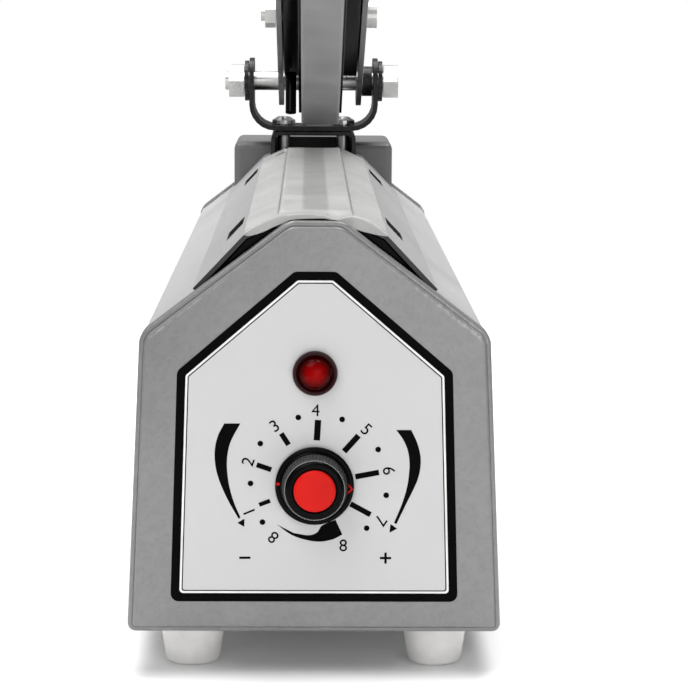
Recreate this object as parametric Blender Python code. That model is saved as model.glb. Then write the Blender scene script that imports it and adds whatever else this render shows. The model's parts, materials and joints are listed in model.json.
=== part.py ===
"""Countertop impulse sealer with a hinged press arm, a timer knob and a signal lamp.

Metres, +Z up. X runs across the body and Y from the front face back to the hinge.
The feet stand on Z = 0. Every piece is modelled with the front face at Y = 0, under an
empty that moves back at the end, so that the origin lies under the middle of the object.
The arm is modelled closed, about its pivot, and its own empty holds it raised.
"""

import math

import bmesh
import bpy
from mathutils import Vector

# Shared fits and counts
FIT_GAP = 0.0003
RUNNING_GAP = 0.0001
CUT_OVERRUN = 0.003
CORNER_STEPS = 4
ROUND_SIDES = 32
SMALL_SIDES = 20
HEX_SIDES = 6
MERGE_DISTANCE = 0.000001
SMOOTH_ANGLE_DEG = 35.0
SIDES = (-1, 1)
BEND_STEPS = 6
NUT_BORE_RATIO = 4

# House-shaped body
BODY_LENGTH = 0.300
BODY_BOTTOM_Z = 0.010
BASE_HALF_WIDTH = 0.0403
SIDE_LEAN = 0.0032
EAVE_HALF_WIDTH = BASE_HALF_WIDTH - SIDE_LEAN
EAVE_Z = 0.0745
ROOF_FLAT_HALF_WIDTH = 0.0058
ROOF_Z = 0.0984
HOUSE_CORNER_RADIUS = 0.0045
LEAST_ROUND_SHARE = 0.25

# End caps
CAP_DEPTH = 0.0048
CAP_FACE_STEP = 0.0010
CAP_FACE_INSET = 0.00165
CAP_EDGE_ROUND = 0.0006
CAP_SPIGOT_DEPTH = 0.0075
CAP_SPIGOT_WALL = 0.0022
SPIGOT_CORNER_RADIUS = 0.0012

# Sheet body
SHELL_INSET = 0.0008
SHELL_WALL = 0.0016
SHELL_LIP = 0.0070
DECK_Z = 0.0864
BASE_PLATE_THICKNESS = 0.0012
VENT_LENGTH = 0.0300
VENT_WIDTH = 0.0030
VENT_PITCH = 0.0090
VENT_COUNT = 7

# Feet
FOOT_TOP_RADIUS = 0.0073
FOOT_BOTTOM_RADIUS = 0.0064
FOOT_EDGE = 0.0010
FOOT_EDGE_SHARE = 0.3
FOOT_SIDE_INSET = 0.0137
FOOT_X = BASE_HALF_WIDTH - FOOT_SIDE_INSET
FOOT_INSET_Y = 0.0150

# Ridge that makes the seal
RIDGE_TOP_Z = 0.1000
RIDGE_FRONT_Y = 0.0065
SEAL_END_INSET = 0.0940
SEAL_LENGTH = BODY_LENGTH - SEAL_END_INSET
SHEET_THICKNESS = 0.0003
ELEMENT_THICKNESS = 0.0003
ELEMENT_WIDTH = 0.0054
RIDGE_HALF_WIDTH = 0.00765
BAR_WEB_HALF_WIDTH = 0.0045
BAR_FLANGE = 0.0024
BAR_FOOT_HALF_WIDTH = 0.0120
CLAMP_LENGTH = 0.0085
CLOTH_BEND = 0.0003

# Sloping covers each side of the ridge
COVER_THICKNESS = 0.0010
COVER_FOOT_INSET = 0.0111
COVER_FOOT_X = EAVE_HALF_WIDTH - COVER_FOOT_INSET
COVER_INNER_X = 0.0084
COVER_INNER_Z = 0.0981
COVER_SHOULDER_SHARE = 0.3864
COVER_SHOULDER_X = COVER_INNER_X + COVER_SHOULDER_SHARE * (COVER_FOOT_X - COVER_INNER_X)
COVER_SHOULDER_Z = 0.0950
COVER_FRONT_Y = 0.0054
COVER_END_INSET = 0.0460
COVER_END_Y = BODY_LENGTH - COVER_END_INSET
COVER_LIFT_SHARE = 1.22
COVER_LEDGE_DROP = 0.0003
SLOT_LENGTH = 0.0180
SLOT_HEIGHT = 0.0052
SLOT_PLACE_SHARE = 0.5568
SLOT_X = COVER_INNER_X + SLOT_PLACE_SHARE * (COVER_FOOT_X - COVER_INNER_X)
SLOT_FRONT_Y = 0.0520
SLOT_REAR_INSET = 0.0490
SLOT_REAR_Y = COVER_END_Y - SLOT_REAR_INSET
SLOT_CORNER_RADIUS = 0.0010

# Block behind the covers
BLOCK_FRONT_GAP = 0.0010
BLOCK_FRONT_Y = COVER_END_Y + BLOCK_FRONT_GAP
BLOCK_SIDE_INSET = 0.0123
BLOCK_HALF_WIDTH = EAVE_HALF_WIDTH - BLOCK_SIDE_INSET
BLOCK_TOP_Z = 0.0988
BLOCK_CORNER_RADIUS = 0.0020
BLOCK_BEVEL_SEGMENTS = 3

# Front label, signal lamp and timer
LABEL_BOTTOM_Z = 0.0169
LABEL_BOTTOM_INSET = 0.0096
LABEL_BOTTOM_HALF_WIDTH = BASE_HALF_WIDTH - LABEL_BOTTOM_INSET
LABEL_SIDE_Z = 0.0667
LABEL_SIDE_INSET = 0.0080
LABEL_SIDE_HALF_WIDTH = EAVE_HALF_WIDTH - LABEL_SIDE_INSET
LABEL_TOP_Z = 0.0879
LABEL_TOP_HALF_WIDTH = 0.0044
LABEL_CORNER_RADIUS = 0.0017
LABEL_THICKNESS = 0.0005
LABEL_POCKET_DEPTH = 0.0006
LAMP_Z = 0.0664
LAMP_BEZEL_RADIUS = 0.00476
LAMP_BEZEL_HEIGHT = 0.0009
LAMP_TUBE_RADIUS = 0.0041
LAMP_LENS_RADIUS = 0.0035
LAMP_LENS_DOME = 0.0022
LAMP_LENS_SINK = 0.0012
LAMP_TUBE_DEPTH = 0.0085
LAMP_BODY_LENGTH = 0.0220
LAMP_WIRE_RADIUS = 0.0018
DOME_STEPS = 6
KNOB_Z = 0.0423
KNOB_SKIRT_RADIUS = 0.00837
KNOB_SKIRT_HEIGHT = 0.0011
KNOB_FOOT_RADIUS = 0.0070
KNOB_NOSE_RADIUS = 0.0064
KNOB_HEIGHT = 0.0060
KNOB_EDGE = 0.0005
KNOB_FLUTES = 28
KNOB_FLUTE_DEPTH = 0.0003
KNOB_CAP_RADIUS = 0.00443
KNOB_CAP_PROUD = 0.0005
KNOB_CAP_THICKNESS = 0.0015
POT_BODY_RADIUS = 0.0080
POT_BODY_LENGTH = 0.0090
POT_BUSH_RADIUS = 0.0030
POT_NUT_RADIUS = 0.0046
POT_NUT_HEIGHT = 0.0015
POT_SHAFT_RADIUS = 0.0020
POT_SHAFT_SINK = 0.0060
BOARD_SIDE_INSET = 0.0143
BOARD_HALF_WIDTH = BASE_HALF_WIDTH - BOARD_SIDE_INSET
BOARD_BOTTOM_Z = 0.0180
BOARD_TOP_Z = 0.0560
BOARD_THICKNESS = 0.0016
RELAY_WIDTH = 0.0160
RELAY_HEIGHT = 0.0190
RELAY_DEPTH = 0.0150
RELAY_INSET = 0.0130
RELAY_X = RELAY_INSET - BOARD_HALF_WIDTH
CAPACITOR_RADIUS = 0.0050
CAPACITOR_LENGTH = 0.0160
CAPACITOR_INSET = 0.0120
CAPACITOR_X = BOARD_HALF_WIDTH - CAPACITOR_INSET

# Transformer
CORE_SIDE_ROOM = 0.0163
CORE_WIDTH = 2.0 * (BASE_HALF_WIDTH - CORE_SIDE_ROOM)
CORE_HEIGHT = 0.0400
CORE_STACK = 0.0260
CORE_LEGS_ACROSS = 6
CORE_LEG = CORE_WIDTH / CORE_LEGS_ACROSS
COIL_DEPTH = 0.0440
COIL_SIDE_CLEARANCE = 0.0010
COIL_CORNER_RADIUS = 0.0040
TRANSFORMER_INSET = 0.1820
TRANSFORMER_Y = BODY_LENGTH - TRANSFORMER_INSET
STRAP_THICKNESS = 0.0012
STRAP_FOOT = 0.0060

# Hinge bracket and its saddle
PIVOT_INSET = 0.0500
PIVOT_Y = BODY_LENGTH - PIVOT_INSET
PIVOT_Z = 0.1182
SADDLE_HALF_WIDTH = 0.0130
SADDLE_WALL = 0.0012
SADDLE_TOP_Z = 0.1030
SADDLE_REACH = 0.0095
SADDLE_FRONT_Y = PIVOT_Y - SADDLE_REACH
SADDLE_LENGTH = 0.0440
SADDLE_BEND = 0.0022
BRACKET_HALF_WIDTH = 0.01975
BRACKET_WALL = 0.0014
BRACKET_LENGTH = 0.0200
BRACKET_TOP_Z = 0.1252
BRACKET_BEND = 0.0080
BRACKET_TOP_RADIUS = 0.0060
BOLT_X = 0.0092
BOLT_RADIUS = 0.0020
BOLT_HEAD_RADIUS = 0.0036
BOLT_HEAD_HEIGHT = 0.0022
BOLT_TAIL = 0.0015
NUT_RADIUS = 0.0040
NUT_HEIGHT = 0.0030
PIVOT_RADIUS = 0.0029
PIVOT_HEX_RADIUS = 0.0057
PIVOT_HEX_HEIGHT = 0.0046
PIVOT_TAIL = 0.0012
WASHER_RADIUS = 0.0062
WASHER_THICKNESS = 0.0012
SPACER_RADIUS = 0.0046

# Return spring round the pivot
SPRING_WIRE = 0.0012
SPRING_RADIUS = 0.0045
SPRING_TURNS = 5
SPRING_PITCH = 0.0019
SPRING_POINTS_PER_TURN = 10
SPRING_LEG = 0.0100
SPRING_LOW_LEG_DEG = 0.0
SPRING_HIGH_LEG_DEG = 80.0

# Press arm, closed: lengths run forward from the pivot and heights up from it
ARM_REST_DEG = 20.0
ARM_X = 0.0020
ARM_WIDTH = 0.0254
ARM_HEIGHT = 0.0150
ARM_WALL = 0.0016
ARM_OVERHANG = 0.0050
ARM_LENGTH = PIVOT_Y + ARM_OVERHANG
ARM_WEB_START = 0.0080
CARRIER_START = 0.0250
CARRIER_END_INSET = 0.0140
CARRIER_LENGTH = ARM_LENGTH - CARRIER_END_INSET - CARRIER_START
CARRIER_DROP = 0.0010
ARM_END_STEPS = 12
RIB_ROOT = 0.0010
RIB_START = 0.0120
RIB_HALF_WIDTH = 0.0065
RIB_BOTTOM = 0.0140
STRIP_HALF_WIDTH = 0.0057
STRIP_BOTTOM = 0.0179
STRIP_EDGE_RADIUS = 0.0010
STRIP_END_INSET = 0.0006
CROSS_BOLT_REAR = 0.0620
CROSS_BOLT_INSET = 0.0030
CROSS_BOLT_FRONT = CARRIER_START + CARRIER_LENGTH - CROSS_BOLT_INSET
CROSS_BOLT_RADIUS = 0.0020
CROSS_HEAD_RADIUS = 0.0038
CROSS_HEAD_HEIGHT = 0.0028
CROSS_TAIL = 0.0012

# Handle at the arm's front end
HANDLE_OVERLAP = 0.0270
HANDLE_START = ARM_LENGTH - HANDLE_OVERLAP
HANDLE_REACH = 0.0210
HANDLE_TIP = ARM_LENGTH + HANDLE_REACH
HANDLE_WALL = 0.0032
HANDLE_TOP = 0.0128
HANDLE_SKIRT = 0.0080
HANDLE_NOSE_BOTTOM = 0.0170
HANDLE_BEVEL = 0.0022
HANDLE_RADIUS = 0.0060
HANDLE_BEVEL_SEGMENTS = 3
HANDLE_BEVEL_LIMIT_DEG = 30.0
HANDLE_RISE_SHARE = 0.35
HANDLE_BROW_SHARE = 0.30

# Switch under the arm
SWITCH_REACH = 0.0285
SWITCH_X = -0.0088
PUSHER_RADIUS = 0.0016
PLUNGER_RADIUS = 0.0020
PLUNGER_TOP_Z = 0.0988
PLUNGER_TRAVEL = 0.0025
PLUNGER_FLANGE_RADIUS = 0.0032
PLUNGER_FLANGE = 0.0012
PLUNGER_TAIL = 0.0030
GUIDE_RADIUS = 0.0042
GUIDE_NECK_RADIUS = 0.0034
GUIDE_HEIGHT = 0.0075
MICROSWITCH_LENGTH = 0.0278
MICROSWITCH_HEIGHT = 0.0159
MICROSWITCH_WIDTH = 0.0103
SWITCH_PLATE = 0.0012
SWITCH_SIDE_INSET = 0.0035

# Cord inlet in the rear cap
GLAND_Z = 0.0260
GLAND_RADIUS = 0.0050
GLAND_FLANGE_RADIUS = 0.0075
GLAND_FLANGE = 0.0025
GLAND_TAIL = 0.0090
GLAND_TAIL_RADIUS = 0.0042
GLAND_BORE_RADIUS = 0.0030
GLAND_INSIDE = 0.0040


def make_material(name, colour, roughness, metallic=0.0, alpha=1.0):
    """One Principled material with the piece's colour and finish."""
    material = bpy.data.materials.new(name)
    material.use_nodes = True
    shader = material.node_tree.nodes["Principled BSDF"]
    shader.inputs["Base Color"].default_value = (*colour, 1.0)
    shader.inputs["Roughness"].default_value = roughness
    shader.inputs["Metallic"].default_value = metallic
    shader.inputs["Alpha"].default_value = alpha
    return material


def empty(name, location=(0.0, 0.0, 0.0), parent=None):
    """An empty that pieces hang from."""
    holder = bpy.data.objects.new(name, None)
    bpy.context.collection.objects.link(holder)
    holder.location = location
    holder.parent = parent
    return holder


def add_object(name, bm, material, parent, location=(0.0, 0.0, 0.0), smooth=False):
    """Turns a bmesh into a named object with one material."""
    bmesh.ops.recalc_face_normals(bm, faces=bm.faces)
    mesh = bpy.data.meshes.new(name)
    bm.to_mesh(mesh)
    bm.free()
    if smooth:
        mesh.shade_smooth()
        mesh.set_sharp_from_angle(angle=math.radians(SMOOTH_ANGLE_DEG))
    obj = bpy.data.objects.new(name, mesh)
    bpy.context.collection.objects.link(obj)
    if material is not None:
        mesh.materials.append(material)
    obj.parent = parent
    obj.location = location
    return obj


def cut(target, cutter):
    """Takes the cutter's solid out of the target."""
    cutter.hide_render = True
    cutter.display_type = "WIRE"
    cutter.hide_viewport = False
    modifier = target.modifiers.new("cut " + cutter.name, "BOOLEAN")
    modifier.operation = "DIFFERENCE"
    modifier.solver = "EXACT"
    modifier.object = cutter


def fuse(target, addition):
    """Joins the addition's solid to the target."""
    addition.hide_render = True
    addition.display_type = "WIRE"
    modifier = target.modifiers.new("fuse " + addition.name, "BOOLEAN")
    modifier.operation = "UNION"
    modifier.solver = "EXACT"
    modifier.object = addition


def to_plane(axis, first, second, along):
    """Places a point of a flat outline: axis X takes (Y, Z), Y takes (X, Z), Z takes (X, Y)."""
    if axis == "X":
        return Vector((along, first, second))
    if axis == "Y":
        return Vector((first, along, second))
    return Vector((first, second, along))


def loft(sections, axis="Y"):
    """A closed solid through outlines with equal point counts, with flat ends."""
    bm = bmesh.new()
    loops = []
    for outline, along in sections:
        loops.append([bm.verts.new(to_plane(axis, a, b, along)) for a, b in outline])
    for low, high in zip(loops, loops[1:]):
        count = len(low)
        for i in range(count):
            j = (i + 1) % count
            bm.faces.new((low[i], low[j], high[j], high[i]))
    bm.faces.new(loops[0])
    bm.faces.new(loops[-1])
    return bm


def prism(outline, start, end, axis="Y"):
    """An outline extruded straight along an axis."""
    bm = bmesh.new()
    verts = [bm.verts.new(to_plane(axis, a, b, start)) for a, b in outline]
    face = bm.faces.new(verts)
    grown = bmesh.ops.extrude_face_region(bm, geom=[face])
    moved = [item for item in grown["geom"] if isinstance(item, bmesh.types.BMVert)]
    step = to_plane(axis, 0.0, 0.0, end - start)
    bmesh.ops.translate(bm, verts=moved, vec=step)
    return bm


def turned(profile, axis="Z", sides=ROUND_SIDES, closed=False):
    """A profile of (radius, height) points spun about an axis through the origin."""
    bm = bmesh.new()
    verts = []
    for radius, height in profile:
        if axis == "Z":
            verts.append(bm.verts.new((radius, 0.0, height)))
        elif axis == "Y":
            verts.append(bm.verts.new((radius, height, 0.0)))
        else:
            verts.append(bm.verts.new((height, radius, 0.0)))
    edges = [bm.edges.new(pair) for pair in zip(verts, verts[1:])]
    if closed:
        edges.append(bm.edges.new((verts[-1], verts[0])))
    turn_axis = to_plane(axis, 0.0, 0.0, 1.0)
    bmesh.ops.spin(
        bm,
        geom=verts + edges,
        cent=(0.0, 0.0, 0.0),
        axis=turn_axis,
        angle=math.tau,
        steps=sides,
        use_merge=True,
    )
    bmesh.ops.remove_doubles(bm, verts=bm.verts, dist=MERGE_DISTANCE)
    return bm


def rod(radius, start, end, axis="Z", sides=ROUND_SIDES):
    """A plain round bar."""
    return turned([(0.0, start), (radius, start), (radius, end), (0.0, end)], axis, sides)


def ring(outer, inner, start, end, axis="Z", sides=ROUND_SIDES):
    """A plain round tube or washer."""
    profile = [(inner, start), (outer, start), (outer, end), (inner, end)]
    return turned(profile, axis, sides, closed=True)


def rectangle(first_low, first_high, second_low, second_high):
    """The four corners of a rectangle."""
    return [
        (first_low, second_low),
        (first_high, second_low),
        (first_high, second_high),
        (first_low, second_high),
    ]


def rounded(points, radius, steps=CORNER_STEPS, is_open=False):
    """The outline with an arc of the given radius at each corner."""
    result = []
    count = len(points)
    for i, point in enumerate(points):
        if is_open and i in (0, count - 1):
            result.append(tuple(point))
            continue
        corner = Vector(point)
        before = (Vector(points[i - 1]) - corner).normalized()
        after = (Vector(points[(i + 1) % count]) - corner).normalized()
        half_angle = before.angle(after) / 2.0
        bisector = (before + after).normalized()
        centre = corner + bisector * (radius / math.sin(half_angle))
        reach = radius / math.tan(half_angle)
        start = corner + before * reach - centre
        sweep = start.angle_signed(corner + after * reach - centre)
        for k in range(steps + 1):
            angle = -sweep * k / steps
            turned_x = start.x * math.cos(angle) - start.y * math.sin(angle)
            turned_y = start.x * math.sin(angle) + start.y * math.cos(angle)
            result.append((centre.x + turned_x, centre.y + turned_y))
    return result


def offset_points(points, distance, is_open=False):
    """Each point moved to the left of the path, so that every side moves by the distance."""
    result = []
    count = len(points)
    for i, point in enumerate(points):
        here = Vector(point)
        arriving = here - Vector(points[i - 1])
        leaving = Vector(points[(i + 1) % count]) - here
        if is_open and i == 0:
            arriving = leaving
        if is_open and i == count - 1:
            leaving = arriving
        normal_in = Vector((-arriving.y, arriving.x)).normalized()
        normal_out = Vector((-leaving.y, leaving.x)).normalized()
        mitre = (normal_in + normal_out).normalized()
        moved = here + mitre * (distance / mitre.dot(normal_in))
        result.append((moved.x, moved.y))
    return result


def sheet_outline(path, thickness):
    """The closed outline of bent sheet metal, with its thickness left of the path."""
    inner = offset_points(path, thickness, is_open=True)
    return list(path) + inner[::-1]


def mirrored(points):
    """The points seen in the body's middle plane, in reverse order."""
    return [(-a, b) for a, b in reversed(points)]


def house_corners():
    """The body's outline, seen from the front, counter-clockwise."""
    right = [
        (BASE_HALF_WIDTH, BODY_BOTTOM_Z),
        (EAVE_HALF_WIDTH, EAVE_Z),
        (ROOF_FLAT_HALF_WIDTH, ROOF_Z),
    ]
    return right + mirrored(right)


def house_section(inset):
    """The house outline drawn in by an inset, with its corners rounded."""
    radius = max(HOUSE_CORNER_RADIUS - inset, HOUSE_CORNER_RADIUS * LEAST_ROUND_SHARE)
    return rounded(offset_points(house_corners(), inset), radius)


def height_on_roof(x, lift):
    """The height at a distance from the middle of a plane lifted off the body's sloping roof."""
    low, eave, top = offset_points(house_corners(), SHELL_INSET - lift)[:3]
    share = (eave[0] - x) / (eave[0] - top[0])
    return eave[1] + share * (top[1] - eave[1])


def shell_corners():
    """The sheet body's outer outline: the house drawn in, cut off at its floor and its deck."""
    low, eave, top = offset_points(house_corners(), SHELL_INSET)[:3]
    floor = BODY_BOTTOM_Z + BASE_PLATE_THICKNESS + FIT_GAP
    side_share = (floor - low[1]) / (eave[1] - low[1])
    roof_share = (DECK_Z - eave[1]) / (top[1] - eave[1])
    right = [
        (low[0] + side_share * (eave[0] - low[0]), floor),
        eave,
        (eave[0] + roof_share * (top[0] - eave[0]), DECK_Z),
    ]
    return right + mirrored(right)


def spigot_section(inset):
    """The outline of the spigot that each cap pushes into the sheet body."""
    return rounded(offset_points(shell_corners(), SHELL_WALL + FIT_GAP + inset), SPIGOT_CORNER_RADIUS)


def shell_span():
    """Where the sheet body and the base plate start and end between the caps."""
    return CAP_DEPTH + FIT_GAP, BODY_LENGTH - CAP_DEPTH - FIT_GAP


def upright_hole(target, name, radius, x, y, low, high, root):
    """Cuts an upright round hole between two heights."""
    profile = rod(radius, low - CUT_OVERRUN, high + CUT_OVERRUN, sides=SMALL_SIDES)
    cut(target, add_object(name, profile, None, root, (x, y, 0.0)))


def make_shell(root, paint):
    """The folded sheet body between the caps, with lips that carry the base plate."""
    corners = shell_corners()
    floor_x, floor_z = corners[0]
    path = [(floor_x - SHELL_LIP, floor_z)] + corners + [(SHELL_LIP - floor_x, floor_z)]
    start, end = shell_span()
    outline = sheet_outline(path, SHELL_WALL)
    shell = add_object("body_shell", prism(outline, start, end), paint, root)
    low = DECK_Z - SHELL_WALL
    neck = GUIDE_NECK_RADIUS + FIT_GAP
    upright_hole(shell, "guide hole", neck, *switch_place(), low, DECK_Z, root)
    for side in SIDES:
        hole = BOLT_RADIUS + FIT_GAP
        upright_hole(shell, "deck bolt hole %d" % side, hole, side * BOLT_X, PIVOT_Y, low, DECK_Z, root)


def make_base_plate(root, steel):
    """The flat bottom, with a row of cooling slots under the transformer."""
    half = shell_corners()[0][0]
    top = BODY_BOTTOM_Z + BASE_PLATE_THICKNESS
    outline = rectangle(-half, half, *shell_span())
    plate = add_object("base_plate", prism(outline, BODY_BOTTOM_Z, top, "Z"), steel, root)
    first = TRANSFORMER_Y + CORE_STACK - VENT_PITCH * (VENT_COUNT - 1) / 2.0
    for i in range(VENT_COUNT):
        y = first + i * VENT_PITCH
        reach = VENT_LENGTH / 2.0
        corners = rectangle(-reach, reach, y - VENT_WIDTH / 2.0, y + VENT_WIDTH / 2.0)
        slot = prism(corners, BODY_BOTTOM_Z - CUT_OVERRUN, top + CUT_OVERRUN, "Z")
        cut(plate, add_object("vent %d" % i, slot, None, root))


def cap_solid(face, direction):
    """A moulded end cap, from the hollow behind it out to its raised face.

    The face lies at the given Y, and direction is 1 where the cap's back is at larger Y.
    """
    back = face + direction * CAP_DEPTH
    spigot_end = back + direction * CAP_SPIGOT_DEPTH
    rim = face + direction * CAP_FACE_STEP
    sections = [
        (spigot_section(CAP_SPIGOT_WALL), back),
        (spigot_section(CAP_SPIGOT_WALL), spigot_end),
        (spigot_section(0.0), spigot_end),
        (spigot_section(0.0), back),
        (house_section(0.0), back),
        (house_section(0.0), rim + direction * CAP_EDGE_ROUND),
        (house_section(CAP_EDGE_ROUND), rim),
        (house_section(CAP_FACE_INSET), rim),
        (house_section(CAP_FACE_INSET), face + direction * CAP_EDGE_ROUND),
        (house_section(CAP_FACE_INSET + CAP_EDGE_ROUND), face),
    ]
    return loft(sections)


def label_corners():
    """The front label's outline, a smaller house."""
    right = [
        (LABEL_BOTTOM_HALF_WIDTH, LABEL_BOTTOM_Z),
        (LABEL_SIDE_HALF_WIDTH, LABEL_SIDE_Z),
        (LABEL_TOP_HALF_WIDTH, LABEL_TOP_Z),
    ]
    return right + mirrored(right)


def label_front_y():
    """The label's front surface, just proud of the cap's face."""
    return LABEL_POCKET_DEPTH - FIT_GAP - LABEL_THICKNESS


def front_hole(target, name, radius, x, z, start, end, root):
    """Cuts a round hole that runs from front to back."""
    profile = rod(radius, start - CUT_OVERRUN, end + CUT_OVERRUN, "Y")
    cut(target, add_object(name, profile, None, root, (x, 0.0, z)))


def make_front_cap(root, paint):
    """The front cap, with a pocket for the label and holes for the lamp and the timer."""
    cap = add_object("front_cap", cap_solid(0.0, 1.0), paint, root)
    outline = rounded(offset_points(label_corners(), -FIT_GAP), LABEL_CORNER_RADIUS + FIT_GAP)
    pocket = prism(outline, -CUT_OVERRUN, LABEL_POCKET_DEPTH)
    cut(cap, add_object("label pocket", pocket, None, root))
    front_hole(cap, "cap lamp hole", LAMP_TUBE_RADIUS + FIT_GAP, 0.0, LAMP_Z, 0.0, CAP_DEPTH, root)
    front_hole(cap, "cap timer hole", POT_BUSH_RADIUS + FIT_GAP, 0.0, KNOB_Z, 0.0, CAP_DEPTH, root)


def make_rear_cap(root, paint):
    """The rear cap, with the hole for the cord's strain relief."""
    cap = add_object("rear_cap", cap_solid(BODY_LENGTH, -1.0), paint, root)
    start = BODY_LENGTH - CAP_DEPTH
    front_hole(cap, "cord hole", GLAND_RADIUS + FIT_GAP, 0.0, GLAND_Z, start, BODY_LENGTH, root)


def make_cord_gland(root, rubber):
    """The strain relief through the rear cap: a collar outside, a tapered tail and an open bore."""
    start = BODY_LENGTH - CAP_DEPTH - GLAND_INSIDE
    collar = BODY_LENGTH + FIT_GAP
    profile = [
        (GLAND_BORE_RADIUS, start),
        (GLAND_RADIUS, start),
        (GLAND_RADIUS, collar),
        (GLAND_FLANGE_RADIUS, collar),
        (GLAND_FLANGE_RADIUS, collar + GLAND_FLANGE),
        (GLAND_RADIUS, collar + GLAND_FLANGE),
        (GLAND_TAIL_RADIUS, collar + GLAND_TAIL),
        (GLAND_BORE_RADIUS, collar + GLAND_TAIL),
    ]
    bm = turned(profile, "Y", SMALL_SIDES, closed=True)
    add_object("cord_gland", bm, rubber, root, (0.0, 0.0, GLAND_Z), smooth=True)


def make_feet(root, rubber):
    """Four tapered feet under the base plate."""
    top = BODY_BOTTOM_Z - FIT_GAP
    profile = [
        (0.0, 0.0),
        (FOOT_BOTTOM_RADIUS - FOOT_EDGE, 0.0),
        (FOOT_BOTTOM_RADIUS - FOOT_EDGE * FOOT_EDGE_SHARE, FOOT_EDGE * FOOT_EDGE_SHARE),
        (FOOT_BOTTOM_RADIUS, FOOT_EDGE),
        (FOOT_TOP_RADIUS, top),
        (0.0, top),
    ]
    for end, y in (("front", FOOT_INSET_Y), ("rear", BODY_LENGTH - FOOT_INSET_Y)):
        for hand, side in (("left", -1), ("right", 1)):
            name = "foot_%s_%s" % (end, hand)
            add_object(name, turned(profile), rubber, root, (side * FOOT_X, y, 0.0), smooth=True)


def ridge_levels():
    """The underside of the cloth, of the element and of the sheet's seat, from the top down."""
    cloth = RIDGE_TOP_Z - SHEET_THICKNESS
    element_top = cloth - FIT_GAP
    element = element_top - ELEMENT_THICKNESS
    return cloth, element, element - FIT_GAP


def bar_corners(top):
    """The ridge bar's section: a head with ledges for the covers, a web and a foot."""
    ledge = COVER_INNER_Z - COVER_THICKNESS - FIT_GAP
    slope = (COVER_INNER_Z - COVER_SHOULDER_Z) / (COVER_SHOULDER_X - COVER_INNER_X)
    ledge_x = (COVER_INNER_X + COVER_SHOULDER_X) / 2.0
    drop = ledge - slope * (ledge_x - COVER_INNER_X) - COVER_LEDGE_DROP
    seat = DECK_Z + FIT_GAP
    right = [
        (BAR_FOOT_HALF_WIDTH, seat),
        (BAR_FOOT_HALF_WIDTH, seat + BAR_FLANGE),
        (BAR_WEB_HALF_WIDTH, seat + BAR_FLANGE),
        (BAR_WEB_HALF_WIDTH, drop - BAR_FLANGE),
        (ledge_x, drop - BAR_FLANGE),
        (ledge_x, drop),
        (RIDGE_HALF_WIDTH, ledge - COVER_LEDGE_DROP),
        (RIDGE_HALF_WIDTH, top),
    ]
    return right + mirrored(right)


def make_ridge(root, aluminium, brass, alloy, cloth):
    """The bar, the flat heating element over it, its end clamps and the cloth on top."""
    cloth_low, element_low, bar_top = ridge_levels()
    start = RIDGE_FRONT_Y
    end = start + SEAL_LENGTH
    bar_start = start + CLAMP_LENGTH + FIT_GAP
    bar_end = end - CLAMP_LENGTH - FIT_GAP
    add_object("heating_bar", prism(bar_corners(bar_top), bar_start, bar_end), aluminium, root)
    for name, y in (("element_clamp_front", start), ("element_clamp_rear", bar_end + FIT_GAP)):
        half = RIDGE_HALF_WIDTH - FIT_GAP
        block = rectangle(-half, half, DECK_Z + FIT_GAP, bar_top)
        add_object(name, prism(block, y, y + CLAMP_LENGTH), brass, root)
    half = ELEMENT_WIDTH / 2.0
    strip = rectangle(-half, half, element_low, element_low + ELEMENT_THICKNESS)
    add_object("heating_element", prism(strip, start, end), alloy, root)
    add_object("ptfe_sheet", prism(cloth_outline(cloth_low), start, end), cloth, root)


def cloth_outline(low):
    """The cloth's section: flat over the ridge and down both shoulders of the covers."""
    lift = FIT_GAP + SHEET_THICKNESS
    right = [
        (COVER_SHOULDER_X, COVER_SHOULDER_Z + lift),
        (COVER_INNER_X, COVER_INNER_Z + lift),
        (RIDGE_HALF_WIDTH - CLOTH_BEND, low + SHEET_THICKNESS),
    ]
    return sheet_outline(right + mirrored(right), SHEET_THICKNESS)


def cover_path(side):
    """A cover's bent section from its foot on the roof to its edge beside the ridge."""
    foot_z = height_on_roof(COVER_FOOT_X, FIT_GAP) + COVER_THICKNESS * COVER_LIFT_SHARE
    path = [
        (COVER_FOOT_X, foot_z),
        (COVER_SHOULDER_X, COVER_SHOULDER_Z),
        (COVER_INNER_X, COVER_INNER_Z),
    ]
    if side < 0:
        path = mirrored(path)
    return path


def make_cover(side, name, root, paint):
    """One sloping cover with its two slots."""
    outline = sheet_outline(cover_path(side), COVER_THICKNESS)
    cover = add_object(name, prism(outline, COVER_FRONT_Y, COVER_END_Y), paint, root)
    half = SADDLE_HALF_WIDTH + FIT_GAP
    waste = rectangle(-half, half, DECK_Z, PIVOT_Z)
    notch = prism(waste, SADDLE_FRONT_Y - FIT_GAP, COVER_END_Y + CUT_OVERRUN)
    cut(cover, add_object(name + " notch", notch, None, root))
    clear = GUIDE_RADIUS + FIT_GAP
    if side * switch_place()[0] > 0:
        upright_hole(cover, "cover guide hole", clear, *switch_place(), DECK_Z, RIDGE_TOP_Z, root)
    foot, shoulder = cover_path(1)[:2]
    slope = math.atan2(shoulder[1] - foot[1], foot[0] - shoulder[0])
    share = (foot[0] - SLOT_X) / (foot[0] - shoulder[0])
    z = foot[1] + share * (shoulder[1] - foot[1])
    for number, y in enumerate((SLOT_FRONT_Y, SLOT_REAR_Y)):
        outline = rounded(
            rectangle(-SLOT_HEIGHT / 2.0, SLOT_HEIGHT / 2.0, -SLOT_LENGTH / 2.0, SLOT_LENGTH / 2.0),
            SLOT_CORNER_RADIUS,
        )
        bm = prism(outline, -CUT_OVERRUN, CUT_OVERRUN, "Z")
        slot = add_object("%s slot %d" % (name, number), bm, None, root, (side * SLOT_X, y, z))
        slot.rotation_euler = (0.0, side * slope, 0.0)
        cut(cover, slot)


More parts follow.
